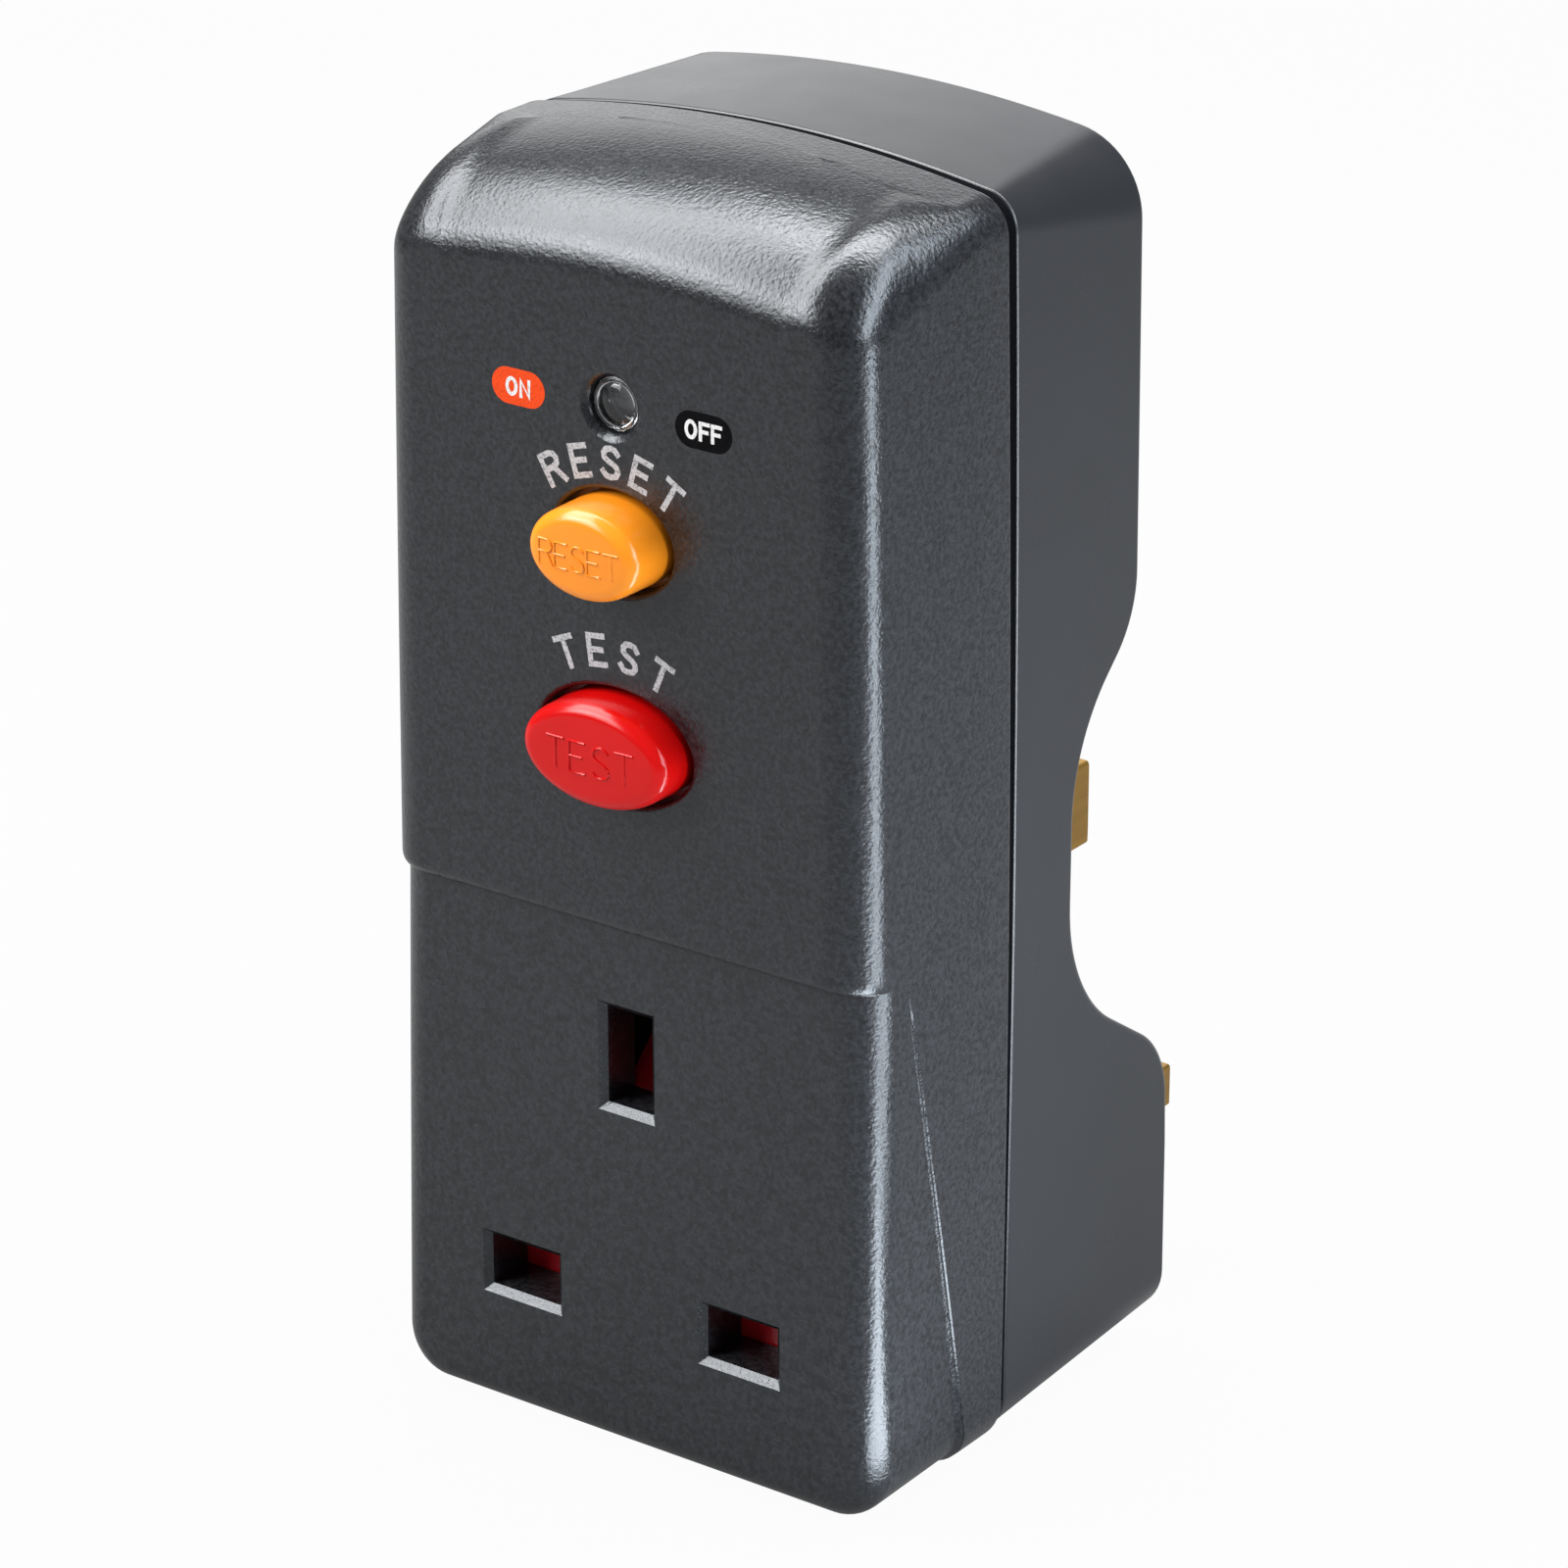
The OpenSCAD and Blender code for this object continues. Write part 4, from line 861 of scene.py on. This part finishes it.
coil("reset_spring")
coil("shutter_spring")
coil("carriage_springs")
blade = spring_copy("test_blade", STRIP, None, "brass", range(-11, 1))
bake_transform(blade)


# ---- printed and moulded words: ON, OFF, TEST, RESET ----

# Strokes of the letters, 1 high
ROUND = [(0.33 + 0.33 * math.sin(2 * math.pi * i / 20), 0.5 + 0.5 * math.cos(2 * math.pi * i / 20))
         for i in range(21)]
STROKES = {
    "R": [[(0, 0), (0, 1)],
          [(0, 1), (0.42, 1), (0.58, 0.92), (0.64, 0.76), (0.58, 0.6), (0.42, 0.52), (0, 0.52)],
          [(0.38, 0.52), (0.66, 0)]],
    "E": [[(0.6, 1), (0, 1), (0, 0), (0.6, 0)], [(0, 0.52), (0.5, 0.52)]],
    "S": [[(0.6, 0.84), (0.5, 0.96), (0.32, 1), (0.14, 0.96), (0.04, 0.82), (0.06, 0.66), (0.2, 0.56),
           (0.42, 0.47), (0.58, 0.36), (0.62, 0.2), (0.54, 0.06), (0.34, 0), (0.14, 0.03), (0.02, 0.16)]],
    "T": [[(0, 1), (0.66, 1)], [(0.33, 1), (0.33, 0)]],
    "F": [[(0, 0), (0, 1), (0.56, 1)], [(0, 0.5), (0.46, 0.5)]],
    "N": [[(0, 0), (0, 1), (0.6, 0), (0.6, 1)]],
    "O": [ROUND],
}
MIDDLE = 0.32  # of a letter's width
INK_LAYER = 0.006  # between the strokes of a letter, so that they don't share a plane


def unit(v):
    return v / np.linalg.norm(v)


def ribbon(points, w):
    """Left and right edge of a flat stroke of width w along points, mitred at the corners."""
    p = [np.array(q, float) for q in points]
    closed = np.linalg.norm(p[0] - p[-1]) < 1e-9
    left, right = [], []
    for i, q in enumerate(p):
        before = p[i] - p[i - 1] if i else (p[-1] - p[-2] if closed else p[1] - p[0])
        after = p[i + 1] - p[i] if i < len(p) - 1 else (p[1] - p[0] if closed else before)
        u, v = unit(before), unit(after)
        n = np.array([-u[1] - v[1], u[0] + v[0]])
        n = n / max(0.35, n @ np.array([-v[1], v[0]]))
        left.append(q + n * w / 2)
        right.append(q - n * w / 2)
    return left, right


def stroke_points(points, height, width, stroke):
    """A letter's stroke in mm about the letter's middle. An open stroke goes half its width past its ends."""
    k = height - stroke
    pts = [np.array(((a - MIDDLE) * k * width, (b - 0.5) * k)) for a, b in points]
    if points is not ROUND:
        first, last = unit(pts[0] - pts[1]), unit(pts[-1] - pts[-2])
        pts[0] = pts[0] + first * stroke / 2
        pts[-1] = pts[-1] + last * stroke / 2
    return pts


def printed(name, word, places, height, width, stroke, look, y):
    """Flat bold letters, each placed by (x, z, turn)."""
    verts, faces = [], []
    for letter, (x, z, turn) in zip(word, places):
        c, s = math.cos(turn), math.sin(turn)
        for layer, points in enumerate(STROKES[letter]):
            left, right = ribbon(stroke_points(points, height, width, stroke), stroke)
            o, n = len(verts), len(left)
            verts += [(x + u * c - w * s, y - INK_LAYER * layer, z + u * s + w * c) for u, w in left + right]
            faces += [(o + i, o + i + 1, o + n + i + 1, o + n + i) for i in range(n - 1)]
    me = bpy.data.meshes.new(name)
    me.from_pydata([(a * MM, b * MM, d * MM) for a, b, d in verts], [], faces)
    face_front(me)
    dress(put(name, me), look, "housing", "front_plastic")


def face_front(me):
    """Turns all faces of a flat mesh to the front."""
    with editing(me) as bm:
        for f in bm.faces:
            f.normal_update()
            if f.normal.y > 0:
                f.normal_flip()


def on_arc(n, r, z_mid, step):
    """Places of n letters on an arc with its top at z_mid."""
    angles = [(i - (n - 1) / 2) * step / r for i in range(n)]
    return [(r * math.sin(a), z_mid - r + r * math.cos(a), -a) for a in angles]


def lozenge(name, x, z, w, h, look):
    """Field with round ends."""
    points = []
    r = h / 2 - 0.05
    for cx, a0 in ((w / 2 - r, -90), (-w / 2 + r, 90)):
        points += [(px, pz) for px, pz, _ in arc(x + cx, z, r, a0, a0 + 180, 15)]
    dress(put(name, prism(points, Y_PANEL - 0.02, Y_PANEL + 0.1)), look, "housing", "front_plastic")


def moulded(name, word, z, height, step, y, face, r):
    """Fine raised strokes on a button's domed face, whose half width and height are given."""
    cu = bpy.data.curves.new(name, "CURVE")
    cu.dimensions = "3D"
    cu.bevel_depth = r * MM
    cu.bevel_resolution = 2
    cu.use_fill_caps = True
    for i, letter in enumerate(word):
        x0 = (i - (len(word) - 1) / 2) * step - MIDDLE * height
        for stroke in STROKES[letter]:
            sp = cu.splines.new("POLY")
            sp.points.add(len(stroke) - 1)
            for p, (a, b) in zip(sp.points, stroke):
                x, up = x0 + a * height, (b - 0.5) * height
                drop = CAP_DOME * ((x / face[0]) ** 2 + (up / face[1]) ** 2)
                p.co = (x * MM, (y + drop) * MM, (z + up) * MM, 1)
    wires = put(name, cu)
    dg = bpy.context.evaluated_depsgraph_get()
    dg.update()
    me = bpy.data.meshes.new_from_object(wires.evaluated_get(dg))
    bpy.data.objects.remove(wires)
    ob = put(name, me)
    shade(ob, 50, False)
    return ob


Y_INK = Y_PANEL - 0.015
Y_MARKS = Y_PANEL - 0.03
printed("print_reset", "RESET", on_arc(5, 11.0, Z_LN + 73.75, 2.98), 2.85, 1.0, 0.5, INK_GREY, Y_INK)
printed("print_test", "TEST", on_arc(4, 11.9, Z_LN + 58.0, 3.15), 2.85, 1.0, 0.5, INK_GREY, Y_INK)
lozenge("print_on_field", -8.93, Z_MARKS, 5.2, 3.1, INK_ON)
lozenge("print_off_field", 8.96, Z_MARKS, 5.4, 3.1, INK_OFF)
for name, word, columns in (("print_on", "ON", (-9.6, -8.25)), ("print_off", "OFF", (7.75, 9.1, 10.25))):
    printed(name, word, [(x, Z_MARKS, 0) for x in columns], 1.6, 1.05, 0.32, INK_WHITE, Y_MARKS)
reset_word = moulded("moulded_reset", "RESET", Z_RESET - 0.1, 2.05, 1.58, Y_PANEL - RESET_OUT - 0.02,
                     face_half(RESET_W, RESET_H, RESET_EDGE), 0.1)
dress(reset_word, ORANGE, "reset_push", "orange_plastic")
test_word = moulded("moulded_test", "TEST", Z_TEST - 0.1, 2.6, 2.25, Y_PANEL - TEST_OUT - 0.02,
                    face_half(TEST_W, TEST_H, TEST_EDGE), 0.11)
dress(test_word, RED, "test_push", "red_plastic")


# ---- floor, light, camera ----

FOLD = (0, -0.042, 0.08)  # where the panel turns into the top
COOL = (0.86, 0.93, 1.0)
FLOOR_SEEN, FLOOR_MIRRORED = 0.965, 0.15  # shares of plain white that the camera and reflections see
SKY_LEVEL = 0.2


def floor():
    me = bpy.data.meshes.new("floor")
    s, z = 3.0, cad_box[0][2] - 0.0003
    me.from_pydata([(-s, -s, z), (s, -s, z), (s, s, z), (-s, s, z)], [], [(0, 1, 2, 3)])
    m = Nodes("pale_floor")
    m.colour(m.noise(60, 3), (0.2, 0.2, 0.2), (0.21, 0.21, 0.21))
    m.set(Roughness=0.8, Specular_IOR_Level=0.2)
    white = m.t.nodes.new("ShaderNodeEmission")
    white.inputs["Color"].default_value = (1, 1, 1, 1)
    white.inputs["Strength"].default_value = 1.0
    ray = m.t.nodes.new("ShaderNodeLightPath").outputs
    seen = m.math("MULTIPLY", ray["Is Camera Ray"], FLOOR_SEEN)
    in_mirror = m.math("MAXIMUM", ray["Is Glossy Ray"], ray["Is Transmission Ray"])
    share = m.math("MAXIMUM", seen, m.math("MULTIPLY", in_mirror, FLOOR_MIRRORED))
    mixed = m.t.nodes.new("ShaderNodeMixShader")
    m.link(share, mixed.inputs[0])
    m.link(m.p.outputs[0], mixed.inputs[1])
    m.link(white.outputs[0], mixed.inputs[2])
    m.link(mixed.outputs[0], m.out.inputs[0])
    me.materials.append(m.mat)
    put("floor", me)


def sky():
    """White to the camera, and a low even light otherwise."""
    world = bpy.data.worlds.new("studio")
    scene.world = world
    world.use_nodes = True
    t = world.node_tree
    t.nodes["Background"].inputs["Color"].default_value = (1, 1, 1, 1)
    ray = t.nodes.new("ShaderNodeLightPath")
    level = t.nodes.new("ShaderNodeMath")
    level.operation = "MAXIMUM"
    level.inputs[1].default_value = SKY_LEVEL
    t.links.new(ray.outputs["Is Camera Ray"], level.inputs[0])
    t.links.new(level.outputs[0], t.nodes["Background"].inputs["Strength"])


def placed(x, y, z, at):
    """Matrix with these axes, at a point."""
    return Matrix(((x.x, y.x, z.x, at[0]), (x.y, y.y, z.y, at[1]), (x.z, y.z, z.z, at[2]), (0, 0, 0, 1)))


def softbox(name, at, look_at, w, h, power, along=(0, 0, 1), seen=True, colour=(1, 1, 1)):
    """Soft light at a point, facing another. along is the direction of its side h."""
    li = bpy.data.lights.new(name, "AREA")
    li.shape = "RECTANGLE"
    li.size, li.size_y = w, h
    li.energy = power
    li.color = colour
    ob = put(name, li)
    z = (Vector(at) - Vector(look_at)).normalized()
    x = Vector(along).cross(z).normalized()
    ob.matrix_world = placed(x, z.cross(x), z, at)
    ob.visible_camera = seen


def lights():
    """The large ones make the highlights of the top and the front edge, the small ones those of the side."""
    softbox("top_left", (-0.368, -0.245, 0.53), FOLD, 0.34, 0.7, 7.0, (0.04, 0.85, 0.42))
    softbox("front_left", (-0.327, -0.492, 0.305), FOLD, 0.3, 0.25, 1.5)
    softbox("overhead", (-0.02, 0.131, 0.622), FOLD, 0.2, 0.54, 4.8, (0.92, 0.28, 0.2))
    softbox("back_left", (-0.475, 0.62, 0.35), FOLD, 0.6, 0.4, 0.85)
    softbox("back_low", (-0.43, 0.69, 0.11), FOLD, 0.5, 0.07, 0.2, seen=False)
    softbox("right_high", (0.442, 0.03, 0.338), (0.022, -0.04, 0.078), 0.18, 0.6, 3.4,
            (-0.483, 0.585, 0.627), colour=COOL)
    softbox("right_panel", (0.105, -0.034, 0.018), (0.024, -0.042, 0.036), 0.022, 0.085, 0.066,
            seen=False, colour=COOL)
    softbox("right_low", (0.08, -0.053, -0.0235), (0.08, -0.053, 1), 0.016, 0.1, 0.07,
            (0.98, -0.196, 0), False, COOL)


def camera():
    """The photograph's camera, as fitted to the slots: direction, roll and focal length in its pixels."""
    az, el, roll = math.radians(35.889), math.radians(22.754), math.radians(-0.076)
    focal, photo_width = 6173.1, 1600
    back = Vector((math.sin(az) * math.cos(el), -math.cos(az) * math.cos(el), math.sin(el)))
    level = Vector((math.cos(az), math.sin(az), 0))
    up = back.cross(level)
    cam = bpy.data.cameras.new("camera")
    cam.sensor_width = 36.0
    cam.sensor_fit = "HORIZONTAL"
    cam.lens = focal / photo_width * 36
    cam.clip_start, cam.clip_end = 0.01, 20
    ob = put("camera", cam)
    ob.matrix_world = placed(math.cos(roll) * level + math.sin(roll) * up,
                             -math.sin(roll) * level + math.cos(roll) * up, back,
                             (0.26852, -0.39275, 0.219165))
    scene.camera = ob


floor()
sky()
lights()
camera()
scene.view_settings.view_transform = "Standard"
